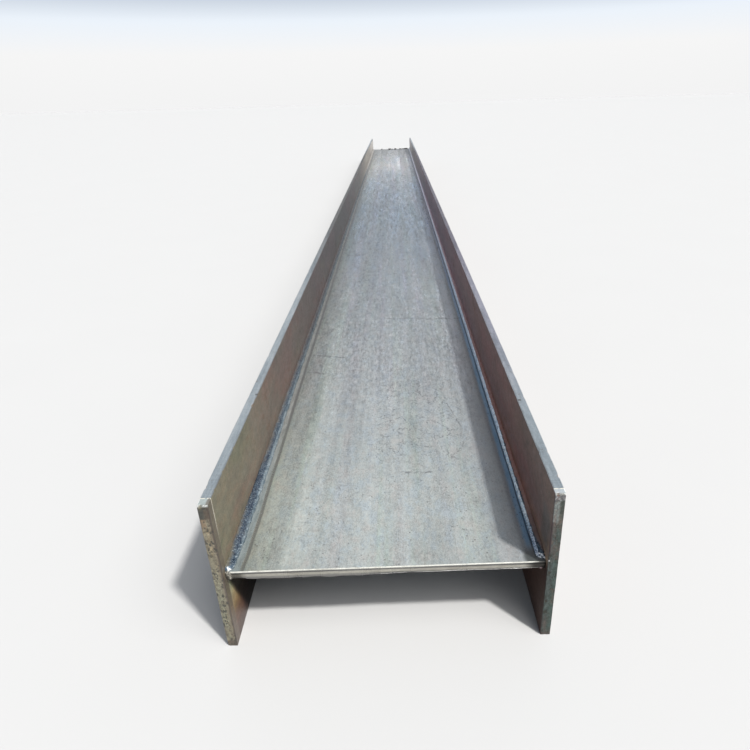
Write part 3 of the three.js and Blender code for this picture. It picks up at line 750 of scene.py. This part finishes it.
def weld_material(name, side):
    """side is -1 for the beads on the left flange and +1 for those on the right one."""
    m = Nodes(name)
    b = m.bsdf
    along = m.math("DIVIDE", m.minus(m.y, Y_FRONT), Y_BACK - Y_FRONT)
    # d runs from the flange's inner face across the bead, and the sides of the band wander
    ax = m.math("ABSOLUTE", m.x)
    d = m.minus(INNER, m.plus(ax, m.swing(m.scaled(1, 110, 1), 0.0022, detail=4, rough=0.8)))
    temper = m.noise(m.scaled(170, 60, 170), detail=5, rough=0.85, distort=0.4)
    crest = m.noise(m.scaled(220, 640, 220), detail=4, rough=0.85)
    soot_and_shadow = m.noise(m.scaled(330, 260, 330, shift=(5, 5, 5)), detail=4, rough=0.85)
    glint = m.noise(m.scaled(620, 560, 620, shift=(2, 2, 2)), detail=3, rough=0.8)
    height = m.minus(m.math("ABSOLUTE", m.minus(m.z, (WEB_TOP + WEB_BOTTOM) / 2)), (WEB_TOP - WEB_BOTTOM) / 2)
    height = m.plus(height, m.swing(m.scaled(1, 90, 1, shift=(0, 5, 0)), 0.0025, detail=4, rough=0.8))
    far = m.step(m.y, Y_FRONT + (0.20 if side < 0 else 0.25), Y_FRONT + (0.85 if side < 0 else 1.1))
    if side < 0:
        col = m.ramp(temper, [(0.36, (0.090, 0.132, 0.192)), (0.46, (0.155, 0.222, 0.292)), (0.55, (0.235, 0.318, 0.385)), (0.66, (0.38, 0.46, 0.50))])
        col = m.shade(col, m.plus(1.0, m.mul(m.band(m.y, Y_FRONT + 0.150, 0.050, 0.050), 0.30)))
        dim = m.step(m.y, Y_BACK - 2.6, Y_BACK - 1.5)
        col = m.mix(m.mul(far, 0.85), col, m.shade(m.ramp(temper, [(0.36, (0.084, 0.077, 0.076)), (0.64, (0.200, 0.186, 0.180))]), m.plus(1.0, m.mul(dim, 1.3))))
        col = m.shade(col, m.plus(m.mul(m.minus(crest, 0.5), 2.1), m.plus(0.76, m.mul(m.step(m.y, Y_BACK - 2.4, Y_BACK - 1.4), 0.35))))
        col = m.mix(m.mul(m.step(soot_and_shadow, 0.48, 0.55), m.plus(0.76, m.mul(far, -0.40))), col, (0.024, 0.041, 0.070))
        near = m.step(m.y, Y_FRONT + 0.32, Y_FRONT + 0.18)
        col = m.shade(col, m.plus(1.0, m.mul(near, -0.08)))
        inward = m.mul(m.step(m.y, Y_FRONT + 0.22, Y_FRONT + 0.15), 0.0010)
        lighter = m.step(m.minus(m.plus(d, m.swing(m.scaled(1, 70, 1, shift=(0, 2, 0)), 0.002, detail=3, rough=0.8)), inward), 0.0066, 0.0090)
        haze = m.shade(m.ramp(temper, [(0.40, (0.19, 0.25, 0.29)), (0.60, (0.46, 0.52, 0.54))]), m.plus(1.0, m.mul(far, -0.45)))
        col = m.mix(m.mul(lighter, 0.80), col, haze)
        col = m.mix(m.mul(m.step(glint, 0.575, 0.635), m.plus(m.plus(0.72, m.mul(near, 0.22)), m.mul(far, -0.5))), col, (0.72, 0.80, 0.83))
        raised = m.mul(m.mul(m.step(m.y, Y_FRONT + 0.030, Y_FRONT + 0.060), m.step(m.y, Y_FRONT + 0.26, Y_FRONT + 0.18)), 0.0022)
        scaled = m.step(m.minus(height, m.plus(raised, m.mul(m.minus(temper, 0.5), 0.004))), 0.0034, 0.0062)
        shady = m.mul(m.step(m.plus(height, m.mul(m.minus(temper, 0.5), 0.005)), 0.0016, 0.0044), m.step(m.y, Y_FRONT + 0.42, Y_FRONT + 0.20))
        col = m.mix(m.mul(shady, m.plus(0.40, m.mul(m.step(m.y, Y_FRONT + 0.06, Y_FRONT + 0.02), -0.25))), col, (0.070, 0.072, 0.100))
        khaki = m.step(m.y, Y_BACK - 2.4, Y_BACK - 1.2)
        col = m.mix(m.mul(khaki, 0.8), col, m.shade((0.240, 0.222, 0.195), m.plus(m.mul(m.minus(temper, 0.5), 1.6), 1.0)))
        col = m.mix(m.mul(scaled, 0.92), col, m.shade(m.ramp(along, LEFT_RAMP), m.plus(m.mul(m.minus(temper, 0.5), 1.2), 0.92)))
    else:
        # painted reflection of the sky: a bright strip along the bead's middle, on dark metal
        dw = m.plus(d, m.minus(m.mul(far, 0.0012), m.mul(m.step(m.y, Y_FRONT + 0.34, Y_FRONT + 0.22), 0.0010)))
        painted_light_strip = m.mul(m.step(dw, 0.0049, 0.0058), m.step(d, 0.0102, 0.0095))
        dark = m.ramp(temper, [(0.38, (0.016, 0.024, 0.036)), (0.52, (0.045, 0.066, 0.090)), (0.64, (0.12, 0.16, 0.20))])
        lit = m.ramp(temper, [(0.34, (0.44, 0.58, 0.74)), (0.46, (0.78, 0.92, 1.0)), (0.64, (1.0, 1.0, 1.0))])
        lit = m.mix(m.mul(m.step(m.y, Y_FRONT + 0.7, Y_FRONT + 2.4), 0.8), lit, m.ramp(temper, [(0.34, (0.72, 0.68, 0.76)), (0.56, (1.0, 0.97, 1.0))]))
        lit = m.shade(lit, m.plus(m.mul(m.minus(crest, 0.5), 1.5), 1.0))
        lit = m.tint(lit, m.ramp(along, [(0.0, (0.62, 0.62, 0.68)), (0.008, (0.74, 0.74, 0.80)), (0.014, (1.0, 1.0, 1.0)), (0.04, (0.98, 0.98, 1.0)), (0.07, (0.78, 0.78, 0.82)), (0.20, (0.70, 0.70, 0.73)), (0.37, (0.66, 0.65, 0.69)), (0.55, (0.86, 0.84, 0.90)), (0.72, (1.0, 0.98, 1.0)), (1.0, (1.0, 1.0, 1.0))]))
        lit = m.mix(m.mul(m.step(soot_and_shadow, 0.54, 0.60), m.plus(0.65, m.mul(far, -0.35))), lit, (0.12, 0.17, 0.25))
        speckled = m.mul(m.step(m.noise(m.scaled(520, 430, 520, shift=(7, 2, 4)), detail=2, rough=0.8), 0.52, 0.46), m.step(m.y, Y_FRONT + 0.11, Y_FRONT + 0.05))
        lit = m.mix(m.mul(speckled, 0.80), lit, (0.070, 0.105, 0.165))
        dark = m.mix(m.mul(m.step(soot_and_shadow, 0.50, 0.58), 0.8), dark, (0.010, 0.013, 0.018))
        col = m.mix(painted_light_strip, dark, lit)
        col = m.mix(m.mul(m.step(glint, 0.60, 0.68), 0.65), col, (0.66, 0.74, 0.82))
        # the bead's upper edge takes the flange's colour, brightened as painted light against the corner's shade
        scaled = m.step(height, 0.0042, 0.0056)
        col = m.mix(m.mul(scaled, 0.92), col, m.shade(m.ramp(along, RIGHT_RAMP), m.plus(m.mul(m.minus(temper, 0.5), 1.2), m.plus(1.2, m.mul(m.step(m.y, Y_FRONT + 0.07, Y_FRONT + 0.12), 0.9)))))
    # bright tips at the very ends: bare metal with a painted highlight, in sparkles on the right
    start = TIP_START[side]
    edge = m.plus(m.y, m.swing(m.scaled(420, 420, 420), 0.010, detail=3, rough=0.8))
    tip = m.mul(m.step(edge, WEB_FRONT + start + 0.0034, WEB_FRONT + start + 0.0020), m.step(d, 0.0022, 0.0036))
    if side > 0:
        sparkle = m.step(m.noise(m.scaled(430, 380, 430, shift=(3, 1, 7)), detail=2, rough=0.7), 0.46, 0.54)
        tip = m.mul(m.step(edge, WEB_FRONT + start + 0.0085, WEB_FRONT + start + 0.0060), sparkle)
    upper = m.step(m.z, WEB_TOP + 0.0001, WEB_TOP + 0.0006)
    col = m.mix(m.mul(tip, m.mul(upper, 0.95)), col, (0.86, 0.88, 0.88) if side < 0 else (1.0, 1.0, 1.0))
    # grey-brown melt run over the web's end
    melt = m.math("MAXIMUM", m.step(m.y, WEB_FRONT + 0.0016, WEB_FRONT + 0.0008), m.mul(m.step(m.y, WEB_FRONT + 0.005, WEB_FRONT + 0.004), m.minus(1.0, upper)))
    sand = m.ramp(soot_and_shadow, [(0.40, (0.018, 0.015, 0.011)), (0.50, (0.105, 0.095, 0.072)), (0.60, (0.42, 0.39, 0.32))])
    col = m.mix(m.mul(melt, 0.9), col, sand)
    if side > 0:
        drop = m.mul(m.step(m.y, WEB_FRONT + 0.0032, WEB_FRONT + 0.0026), m.step(m.z, WEB_BOTTOM + 0.0014, WEB_BOTTOM + 0.0012))
        col = m.mix(m.mul(drop, 0.85), col, (0.46, 0.34, 0.35))
    m.link(col, b.inputs["Base Color"])
    rough = m.plus(m.mul(m.minus(soot_and_shadow, 0.5), 0.5), 0.58 if side < 0 else 0.46)
    m.link(m.math("MAXIMUM", rough, 0.42 if side < 0 else 0.34), b.inputs["Roughness"])
    dull = m.math("MAXIMUM", scaled, melt)
    if side < 0:
        dull = m.math("MAXIMUM", dull, khaki)
    m.link(m.minus(1.0, m.mul(dull, 0.9)), b.inputs["Metallic"])
    height = m.plus(m.mul(crest, 1.0), m.mul(glint, 0.6))
    m.link(m.bump(height, 0.0006, 0.9), b.inputs["Normal"])
    return m.mat


# ---------------------------------------------------------------------------------------------------------------
# Plates
# ---------------------------------------------------------------------------------------------------------------


def long_stations(y0, y1, r):
    front = [(y0 + r, 0.0010), (y0 + 0.020, 0.0014), (y0 + 0.08, 0.004), (y0 + 0.5, 0.012), (y0 + 1.6, 0.03),
             ((y0 + y1) / 2, 0.05)]
    back = [(y0 + y1 - p, s) for p, s in reversed(front)]
    mid = stations(front + back[1:])
    return np.concatenate([[y0, y0 + 0.414 * r], mid, [y1 - 0.414 * r, y1]])


def make_flange(name, node, side, material, seed):
    lo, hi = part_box(node)
    noise = Noise(seed)
    r = 0.9 * MM
    gx = edged(lo.x, hi.x, 8, r)
    gz = edged(lo.z, hi.z, 118, r)
    gy = long_stations(lo.y, hi.y, r)
    points, faces = plate_grid(gx, gy, gz)
    wear = 0.55 * MM + 0.45 * MM * noise.fractal(points, (60, 25, 60), 3)
    p, n = rounded(points, lo, hi, np.clip(wear, 0.15 * MM, r))
    # the rolled faces are true to a fraction of a millimetre
    p[:, 0] += (np.abs(n[:, 0]) > 0.5) * 0.10 * MM * noise.fractal(p, (0, 5, 14), 3) * -np.sign(n[:, 0]) * (n[:, 0] ** 2)
    # cut ends: shallow hollows, and chips along the upper corner
    for y_end, out in ((lo.y, -1), (hi.y, 1)):
        near = smoothstep(1.2 * MM, 0.2 * MM, np.abs(p[:, 1] - y_end))
        rough = 0.22 * MM * (noise.fractal(p, (420, 0, 300), 4) + 1) + 0.18 * MM * (noise.at(p, (90, 0, 45)) + 1)
        p[:, 1] -= out * near * rough
        for cx, cz, size, depth in (
            (lo.x + 3.5 * MM, hi.z, 4.0 * MM, 1.9 * MM), (lo.x + 8.5 * MM, hi.z, 2.6 * MM, 1.1 * MM),
            (hi.x, hi.z - 0.5 * MM, 2.2 * MM, 0.8 * MM), (lo.x, lo.z + 2 * MM, 3 * MM, 0.8 * MM)):
            d = np.sqrt((p[:, 0] - cx) ** 2 + (p[:, 1] - y_end) ** 2 + (p[:, 2] - cz) ** 2)
            bite = depth * smoothstep(size, 0.25 * size, d) * (1 + 0.4 * noise.at(p, (800, 800, 800)))
            p[:, 1] -= out * bite * 0.7
            p[:, 2] -= np.sign(cz - (lo.z + hi.z) / 2) * bite * 0.6
    # small nicks along the upper and lower edges
    rng = np.random.default_rng(seed)
    for _ in range(46):
        y = rng.uniform(lo.y + 0.03, hi.y - 0.03)
        if rng.random() < 0.6:
            y = lo.y + 0.03 + 0.5 * rng.random() ** 2
        cz = hi.z if rng.random() < 0.8 else lo.z
        cx = lo.x if rng.random() < 0.5 else hi.x
        size, depth = rng.uniform(2, 5) * MM, rng.uniform(0.3, 1.0) * MM
        near = np.nonzero((np.abs(p[:, 1] - y) < size * 1.5) & (np.abs(p[:, 2] - cz) < size))[0]
        d = np.sqrt((p[near, 0] - cx) ** 2 + ((p[near, 1] - y) / 1.4) ** 2 + (p[near, 2] - cz) ** 2)
        bite = depth * smoothstep(size, 0, d)
        p[near, 0] += np.sign((lo.x + hi.x) / 2 - cx) * bite * 0.6
        p[near, 2] += np.sign((lo.z + hi.z) / 2 - cz) * bite * 0.6
    # a fine raised burr where the plate was marked off, level with the web's end
    ridge = 0.12 * MM * np.exp(-((p[:, 1] - (lo.y + TIP[side])) / (0.7 * MM)) ** 2)
    inside = np.minimum(np.minimum(p[:, 0] - lo.x, hi.x - p[:, 0]), np.minimum(p[:, 2] - lo.z, hi.z - p[:, 2]))
    p[:, 0] = np.clip(p[:, 0] + n[:, 0] * ridge * (inside > 0.2 * MM), lo.x, hi.x)
    p = np.clip(p, np.array(lo), np.array(hi))
    ob = object_from(name, p, faces.tolist(), material)
    weighted(ob)
    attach(ob, "root")
    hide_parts(node)
    return ob


def make_web(name, node, material, seed):
    lo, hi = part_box(node)
    noise = Noise(seed)
    r = 0.9 * MM
    gx = edged(lo.x, hi.x, 90, r)
    gz = edged(lo.z, hi.z, 12, r)
    gy = long_stations(lo.y, hi.y, r)
    points, faces = plate_grid(gx, gy, gz)
    wear = 0.6 * MM + 0.4 * MM * noise.fractal(points, (40, 20, 60), 3)
    p, n = rounded(points, lo, hi, np.clip(wear, 0.2 * MM, r))
    # the plate is rolled, so its faces are only nearly flat
    sheet = np.abs(n[:, 2]) > 0.5
    p[:, 2] -= sheet * np.sign(n[:, 2]) * 0.14 * MM * (1 + noise.fractal(p, (5, 1.6, 0), 3))
    # sheared front and back ends: a lip, a groove under it, a torn band and a burr below
    t = (hi.z - p[:, 2]) / (hi.z - lo.z)
    hangs = smoothstep(-0.166, -0.158, p[:, 0]) * smoothstep(0.045, -0.060, p[:, 0])
    for y_end, out in ((lo.y, -1), (hi.y, 1)):
        near = smoothstep(1.6 * MM, 0.1 * MM, np.abs(p[:, 1] - y_end)) * (t > 0.04) * (t < 0.97)
        groove = 1.1 * MM * np.exp(-((t - 0.27 - 0.03 * noise.at(p, (9, 0, 0))) / 0.07) ** 2)
        torn = 0.28 * MM * smoothstep(0.35, 0.5, t) * (1 + noise.fractal(p, (260, 0, 500), 3))
        under = 0.9 * MM * smoothstep(0.80, 0.93, t) * (1 + 0.5 * noise.at(p, (45, 0, 0))) * (1 - hangs * (out < 0))
        p[:, 1] -= out * near * (groove + torn + under)
    p = np.clip(p, np.array(lo), np.array(hi))
    # a thin burr hanging from the lower front edge, on the left
    uneven = np.clip(1 + 0.75 * noise.fractal(p, (75, 0, 0), 3), 0.25, 1.5)
    p[:, 2] -= 1.7 * MM * hangs * uneven * smoothstep(0.72, 1.0, t) * smoothstep(3.2 * MM, 0.6 * MM, p[:, 1] - lo.y)
    ob = object_from(name, p, faces.tolist(), material)
    weighted(ob)
    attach(ob, "root")
    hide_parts(node)
    return ob


# ---------------------------------------------------------------------------------------------------------------
# Weld beads
# ---------------------------------------------------------------------------------------------------------------


def lump(centre, radii, noise, rows=12, columns=18, amount=0.22):
    """An uneven blob of frozen metal: points and faces."""
    points, faces = [], []
    for i in range(rows + 1):
        phi = math.pi * i / rows
        for j in range(columns if 0 < i < rows else 1):
            th = 2 * math.pi * j / columns
            points.append((math.sin(phi) * math.cos(th), math.sin(phi) * math.sin(th), math.cos(phi)))
    p = np.array(points)
    p = p * (1 + amount * noise.fractal(p + 5, (2.1, 2.1, 2.1), 3))[:, None] * np.array(radii) + np.array(centre)

    def at(i, j):
        return 0 if i == 0 else (len(points) - 1 if i == rows else 1 + (i - 1) * columns + j % columns)

    for i in range(rows):
        for j in range(columns):
            f = [at(i, j), at(i + 1, j), at(i + 1, j + 1), at(i, j + 1)]
            faces.append([v for k, v in enumerate(f) if v not in f[:k]])
    return p.tolist(), faces


def make_bead(name, node, side, up, front_gap, legs, taper, material, seed, spatter=0, lumps=()):
    """side is -1 for the left flange and +1 for the right; up is +1 for the web's top face and -1 for its underside.
    legs lists (distance from the web's front end, leg along the web, leg along the flange) in mm; taper is the length
    over which the front end comes to nothing."""
    noise = Noise(seed)
    y0, y1 = WEB_FRONT + front_gap, WEB_BACK - 0.006
    ys = stations([(y0, 0.0006), (y0 + 0.012, 0.0010), (y0 + 0.9, 0.0013), (y0 + 1.2, 0.004), (y1 - 0.5, 0.006),
                   (y1 - 0.25, 0.0015), (y1 - 0.012, 0.0012), (y1, 0.0006)])
    crown = 1.0 * MM
    steps = 10
    t = np.linspace(0, 1, steps + 1)
    c = np.zeros((len(ys), 3))
    c[:, 1] = ys
    place = [q[0] * MM for q in legs]
    web_leg = MM * np.interp(ys - WEB_FRONT, place, [q[1] for q in legs])
    flange_leg = MM * np.interp(ys - WEB_FRONT, place, [q[2] for q in legs])
    web_leg = web_leg * (1 + 0.045 * noise.at(c, (1, 38, 1)) + 0.05 * noise.at(c, (1, 130, 1)) + 0.025 * noise.at(c, (1, 400, 1)))
    flange_leg = flange_leg * (1 + 0.06 * noise.at(c + 7, (1, 33, 1)) + 0.05 * noise.at(c + 7, (1, 140, 1)))
    bulge = crown * (1 + 0.30 * noise.at(c + 3, (1, 55, 1)))
    # the ends round off over a few millimetres
    e0 = np.clip((ys - y0) / taper, 0, 1)
    e1 = np.clip((y1 - ys) / 0.0065, 0, 1)
    end = np.sqrt(1 - (1 - e0) ** 2) * np.sqrt(1 - (1 - e1) ** 2)
    end = np.maximum(end, 0.12)
    rng = np.random.default_rng(seed)
    phase = np.cumsum(np.concatenate([[0], np.diff(ys)]) / (2.1 * MM * (1 + 0.25 * noise.at(c + 11, (1, 30, 1)))))
    verts = np.zeros((len(ys), steps + 2, 3))
    for k, tk in enumerate(t):
        arch = 4 * tk * (1 - tk)
        lag = 1.1 * arch
        ripple = np.sin(2 * np.pi * (phase - lag))
        ripple = 0.5 * ripple + 0.5 * np.abs(ripple) - 0.3
        q = np.stack([np.full(len(ys), tk * 9.0), ys * 260, np.zeros(len(ys))], 1)
        lift = bulge * arch + arch ** 0.5 * (0.15 * MM * ripple + 0.26 * MM * noise.fractal(q, (1, 1, 1), 3))
        dx = (1 - tk) * web_leg + lift * 0.61
        dz = tk * flange_leg + lift * 0.79
        dx, dz = dx * end, dz * end
        if k == 0:
            dz = np.full(len(ys), -0.35 * MM)
        if k == steps:
            dx = np.full(len(ys), -0.35 * MM)
        verts[:, k, 0] = side * (INNER - dx)
        verts[:, k, 1] = ys
        verts[:, k, 2] = (WEB_TOP if up > 0 else WEB_BOTTOM) + up * dz
    # the root of the fillet, just inside both plates
    verts[:, steps + 1, 0] = side * (INNER + 0.35 * MM)
    verts[:, steps + 1, 1] = ys
    verts[:, steps + 1, 2] = (WEB_TOP if up > 0 else WEB_BOTTOM) - up * 0.35 * MM
    m = steps + 2
    ring = np.arange(len(ys) * m).reshape(len(ys), m)
    a, b_ = ring[:-1], ring[1:]
    quads = np.stack([a, np.roll(a, -1, 1), np.roll(b_, -1, 1), b_], -1).reshape(-1, 4)
    faces = quads.tolist() + [ring[0][::-1].tolist(), ring[-1].tolist()]
    flip = (side > 0) != (up < 0)
    if not flip:
        faces = [f[::-1] for f in faces]
    verts = verts.reshape(-1, 3).tolist()
    # spatter: small domes of metal frozen on the plates beside the bead
    dome = [(0, 0, 1)] + [(math.cos(h) * q, math.sin(h) * q, w) for q, w in ((0.62, 0.78), (1.0, 0.0)) for h in np.arange(6) * math.pi / 3]
    dome_faces = [[0, 1 + i, 1 + (i + 1) % 6] for i in range(6)] + [[1 + i, 7 + i, 7 + (i + 1) % 6, 1 + (i + 1) % 6] for i in range(6)] + [[12, 11, 10, 9, 8, 7]]
    for _ in range(spatter):
        y = y0 + (1.6 * rng.random() ** 1.5 if rng.random() < 0.75 else rng.random() * (y1 - y0))
        out = 13 * MM + rng.exponential(9 * MM)
        s = rng.uniform(0.2, 0.6) * MM
        base = len(verts)
        on_web = rng.random() < 0.55
        for dx, dy, dz in dome:
            if on_web:
                v = (side * (INNER - out) + dx * s, y + dy * s, (WEB_TOP if up > 0 else WEB_BOTTOM) + up * (dz * 0.7 * s - 0.25 * MM))
            else:
                v = (side * (INNER - dz * 0.7 * s + 0.15 * MM), y + dy * s, (WEB_TOP if up > 0 else WEB_BOTTOM) + up * (out + dx * s))
            verts.append(v)
        mirror = (up < 0) if on_web else (side * up < 0)
        faces += [[base + i for i in (f[::-1] if mirror else f)] for f in dome_faces]
    # blobs where the weld ran over the web's end
    for centre, radii in lumps:
        p, f = lump(centre, radii, noise)
        base = len(verts)
        verts += p
        faces += [[base + i for i in q] for q in f]
    ob = object_from(name, verts, faces, material)
    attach(ob, "root")
    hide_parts(node)
    return ob


def crust_material():
    m = Nodes("end_crust")
    speck = m.noise(m.scaled(300, 300, 300), detail=4, rough=0.8)
    m.link(m.ramp(speck, [(0.40, (0.008, 0.007, 0.006)), (0.60, (0.040, 0.032, 0.025))]), m.bsdf.inputs["Base Color"])
    m.bsdf.inputs["Roughness"].default_value = 0.95
    m.bsdf.inputs["IOR"].default_value = 1.35
    m.link(m.bump(speck, 0.0008, 0.8), m.bsdf.inputs["Normal"])
    return m.mat


def make_crust(name, material, seed):
    """Crumbs of black slag and rust stuck along the web's back end: each one is bedded in the plate."""
    noise, rng = Noise(seed), np.random.default_rng(seed)
    verts, faces = [], []
    for x0, x1, count in ((-0.044, 0.010, 9), (0.030, 0.052, 5), (0.078, 0.140, 9), (0.142, 0.166, 8), (-0.150, -0.080, 2)):
        for _ in range(count):
            rx, ry, rz = rng.uniform(3.5, 8.0) * MM, rng.uniform(4, 10) * MM, rng.uniform(2.5, 6.5) * MM
            centre = (rng.uniform(x0, x1), WEB_BACK - ry * 1.15 - 0.5 * MM - rng.exponential(7 * MM), WEB_TOP + 0.15 * rz)
            p, f = lump(centre, (rx, ry, rz), noise, 8, 12, 0.30)
            p = np.array(p)
            p[:, 1] = np.minimum(p[:, 1], WEB_BACK)
            p[:, 2] = np.maximum(p[:, 2], WEB_TOP - 1.0 * MM)
            base = len(verts)
            verts += p.tolist()
            faces += [[base + i for i in q] for q in f]
    ob = object_from(name, verts, faces, material)
    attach(ob, "root")
    return ob


web_mat = web_material()
left_mat = flange_material("flange_steel_left", -1)
right_mat = flange_material("flange_steel_right", 1)
weld_left = weld_material("weld_metal_left", -1)
weld_right = weld_material("weld_metal_right", 1)

make_web("web", "web_plate", web_mat, 21)
make_flange("flange_left", "flange_plate_left", -1, left_mat, 31)
make_flange("flange_right", "flange_plate_right", 1, right_mat, 41)
make_bead("bead_upper_left", "weld_bead_upper_left", -1, 1, TIP_START[-1],
          [(0, 9.5, 6.0), (20, 10.5, 6.0), (60, 12.0, 7.5), (110, 12.0, 6.8), (200, 12.0, 5.6), (500, 11.0, 5.5), (6000, 10.5, 6.5)], 0.0060,
          weld_left, 51, 50, [((-INNER + 3.2 * MM, WEB_FRONT + 0.6 * MM, WEB_TOP - 3.5 * MM), (3.6 * MM, 1.9 * MM, 4.6 * MM))])
make_bead("bead_upper_right", "weld_bead_upper_right", 1, 1, TIP_START[1],
          [(0, 10.0, 4.0), (12, 11.0, 5.0), (30, 10.5, 6.5), (70, 9.6, 7.5), (200, 9.8, 7.5), (6000, 10.0, 7.0)], 0.0100,
          weld_right, 61, 50)
make_bead("bead_lower_left", "weld_bead_lower_left", -1, -1, 0.0030, [(0, 10, 7), (6000, 10, 7)], 0.0065, weld_left, 71, 40,
          [((-INNER + 4.4 * MM, WEB_FRONT + 0.9 * MM, WEB_BOTTOM + 1.2 * MM), (3.0 * MM, 1.9 * MM, 2.6 * MM))])
make_bead("bead_lower_right", "weld_bead_lower_right", 1, -1, 0.0030, [(0, 10, 7), (6000, 10, 7)], 0.0065, weld_right, 81, 40,
          [((INNER - 5.3 * MM, WEB_FRONT + 1.2 * MM, WEB_BOTTOM + 0.1 * MM), (1.9 * MM, 2.2 * MM, 1.1 * MM))])

make_crust("end_crust", crust_material(), 91)

# ---------------------------------------------------------------------------------------------------------------
# Floor, light and camera
# ---------------------------------------------------------------------------------------------------------------
floor_mat = Nodes("floor_paint")
speck = floor_mat.noise(floor_mat.scaled(3, 3, 3), detail=3)
floor_mat.link(floor_mat.shade((0.54, 0.54, 0.54), floor_mat.plus(floor_mat.mul(floor_mat.minus(speck, 0.5), 0.02), 1.0)),
               floor_mat.bsdf.inputs["Base Color"])
floor_mat.bsdf.inputs["Roughness"].default_value = 0.85
floor_mat.bsdf.inputs["Specular IOR Level"].default_value = 0.2
half = 60.0
floor = object_from("studio_floor", [(-half, -half, 0), (half, -half, 0), (half, half, 0), (-half, half, 0)],
                    [(0, 1, 2, 3)], floor_mat.mat, smooth=False)

world = bpy.data.worlds.new("studio")
bpy.context.scene.world = world
world.use_nodes = True
w = Nodes.__new__(Nodes)
w.tree = world.node_tree
w.tree.nodes.clear()
w_split = w.add("ShaderNodeSeparateXYZ")
w.link(w.add("ShaderNodeTexCoord").outputs["Generated"], w_split.inputs[0])
sky = w.ramp(w_split.outputs[2], [(0.0, (0.74, 0.75, 0.77)), (0.12, (0.64, 0.66, 0.69)), (0.26, (0.33, 0.36, 0.40)), (0.55, (0.235, 0.275, 0.325))])
ahead = w.ramp(w_split.outputs[2], [(0.0, (0.45, 0.45, 0.45)), (0.06, (0.46, 0.46, 0.46)), (0.10, (0.42, 0.45, 0.485)), (0.14, (0.235, 0.270, 0.320)), (0.18, (0.125, 0.160, 0.215)), (0.24, (0.195, 0.230, 0.285)), (0.32, (0.52, 0.54, 0.565)), (0.40, (0.60, 0.605, 0.61)), (0.50, (0.42, 0.43, 0.44)), (0.64, (0.15, 0.17, 0.20))])
sky = w.mix(w.step(w_split.outputs[1], 0.50, 0.90), sky, w.shade(ahead, 2.0))
w_bg = w.add("ShaderNodeBackground")
w.link(sky, w_bg.inputs[0])
w_bg.inputs[1].default_value = 1.0
w.link(w_bg.outputs[0], w.add("ShaderNodeOutputWorld").inputs[0])

toward = Vector((0.49, -0.49, 1.0)).normalized()
for light_name, energy, angle in (("key", 3.6, 3.8), ("softbox", 1.7, 42.0)):
    light_data = bpy.data.lights.new(light_name, "SUN")
    light_data.energy = energy
    light_data.angle = math.radians(angle)
    light_data.color = (1.0, 0.975, 0.94)
    light = bpy.data.objects.new(light_name, light_data)
    bpy.context.scene.collection.objects.link(light)
    light.rotation_euler = toward.to_track_quat("Z", "Y").to_euler()
    light.location = (2, -5, 4)

FOCAL_PX, CENTRE_X, CENTRE_Y, FRAME_PX = 583.931, 406.629, 383.860, 750.0
YAW, PITCH, ROLL = 0.009921, 0.458519, -0.027769
cam_data = bpy.data.cameras.new("camera")
cam_data.sensor_fit = "HORIZONTAL"
cam_data.sensor_width = 36.0
cam_data.lens = 36.0 * FOCAL_PX / FRAME_PX
cam_data.shift_x = (FRAME_PX / 2 - CENTRE_X) / FRAME_PX
cam_data.shift_y = (CENTRE_Y - FRAME_PX / 2) / FRAME_PX
cam_data.clip_start, cam_data.clip_end = 0.02, 200.0
cam = bpy.data.objects.new("camera", cam_data)
bpy.context.scene.collection.objects.link(cam)
forward = Vector((math.sin(YAW) * math.cos(PITCH), math.cos(YAW) * math.cos(PITCH), -math.sin(PITCH)))
right = Vector((math.cos(YAW), -math.sin(YAW), 0.0))
upward = right.cross(forward)
side_axis = math.cos(ROLL) * right + math.sin(ROLL) * upward
up_axis = -math.sin(ROLL) * right + math.cos(ROLL) * upward
cam.matrix_world = Matrix.Translation((0.02511, Y_FRONT - 0.51026, 0.60660)) @ Matrix((
    (side_axis.x, up_axis.x, -forward.x), (side_axis.y, up_axis.y, -forward.y), (side_axis.z, up_axis.z, -forward.z))).to_4x4()
bpy.context.scene.camera = cam

bpy.context.scene.view_settings.view_transform = "Standard"
bpy.context.scene.view_settings.look = "None"
bpy.context.scene.view_settings.exposure = 0.0
bpy.context.scene.view_settings.gamma = 1.0
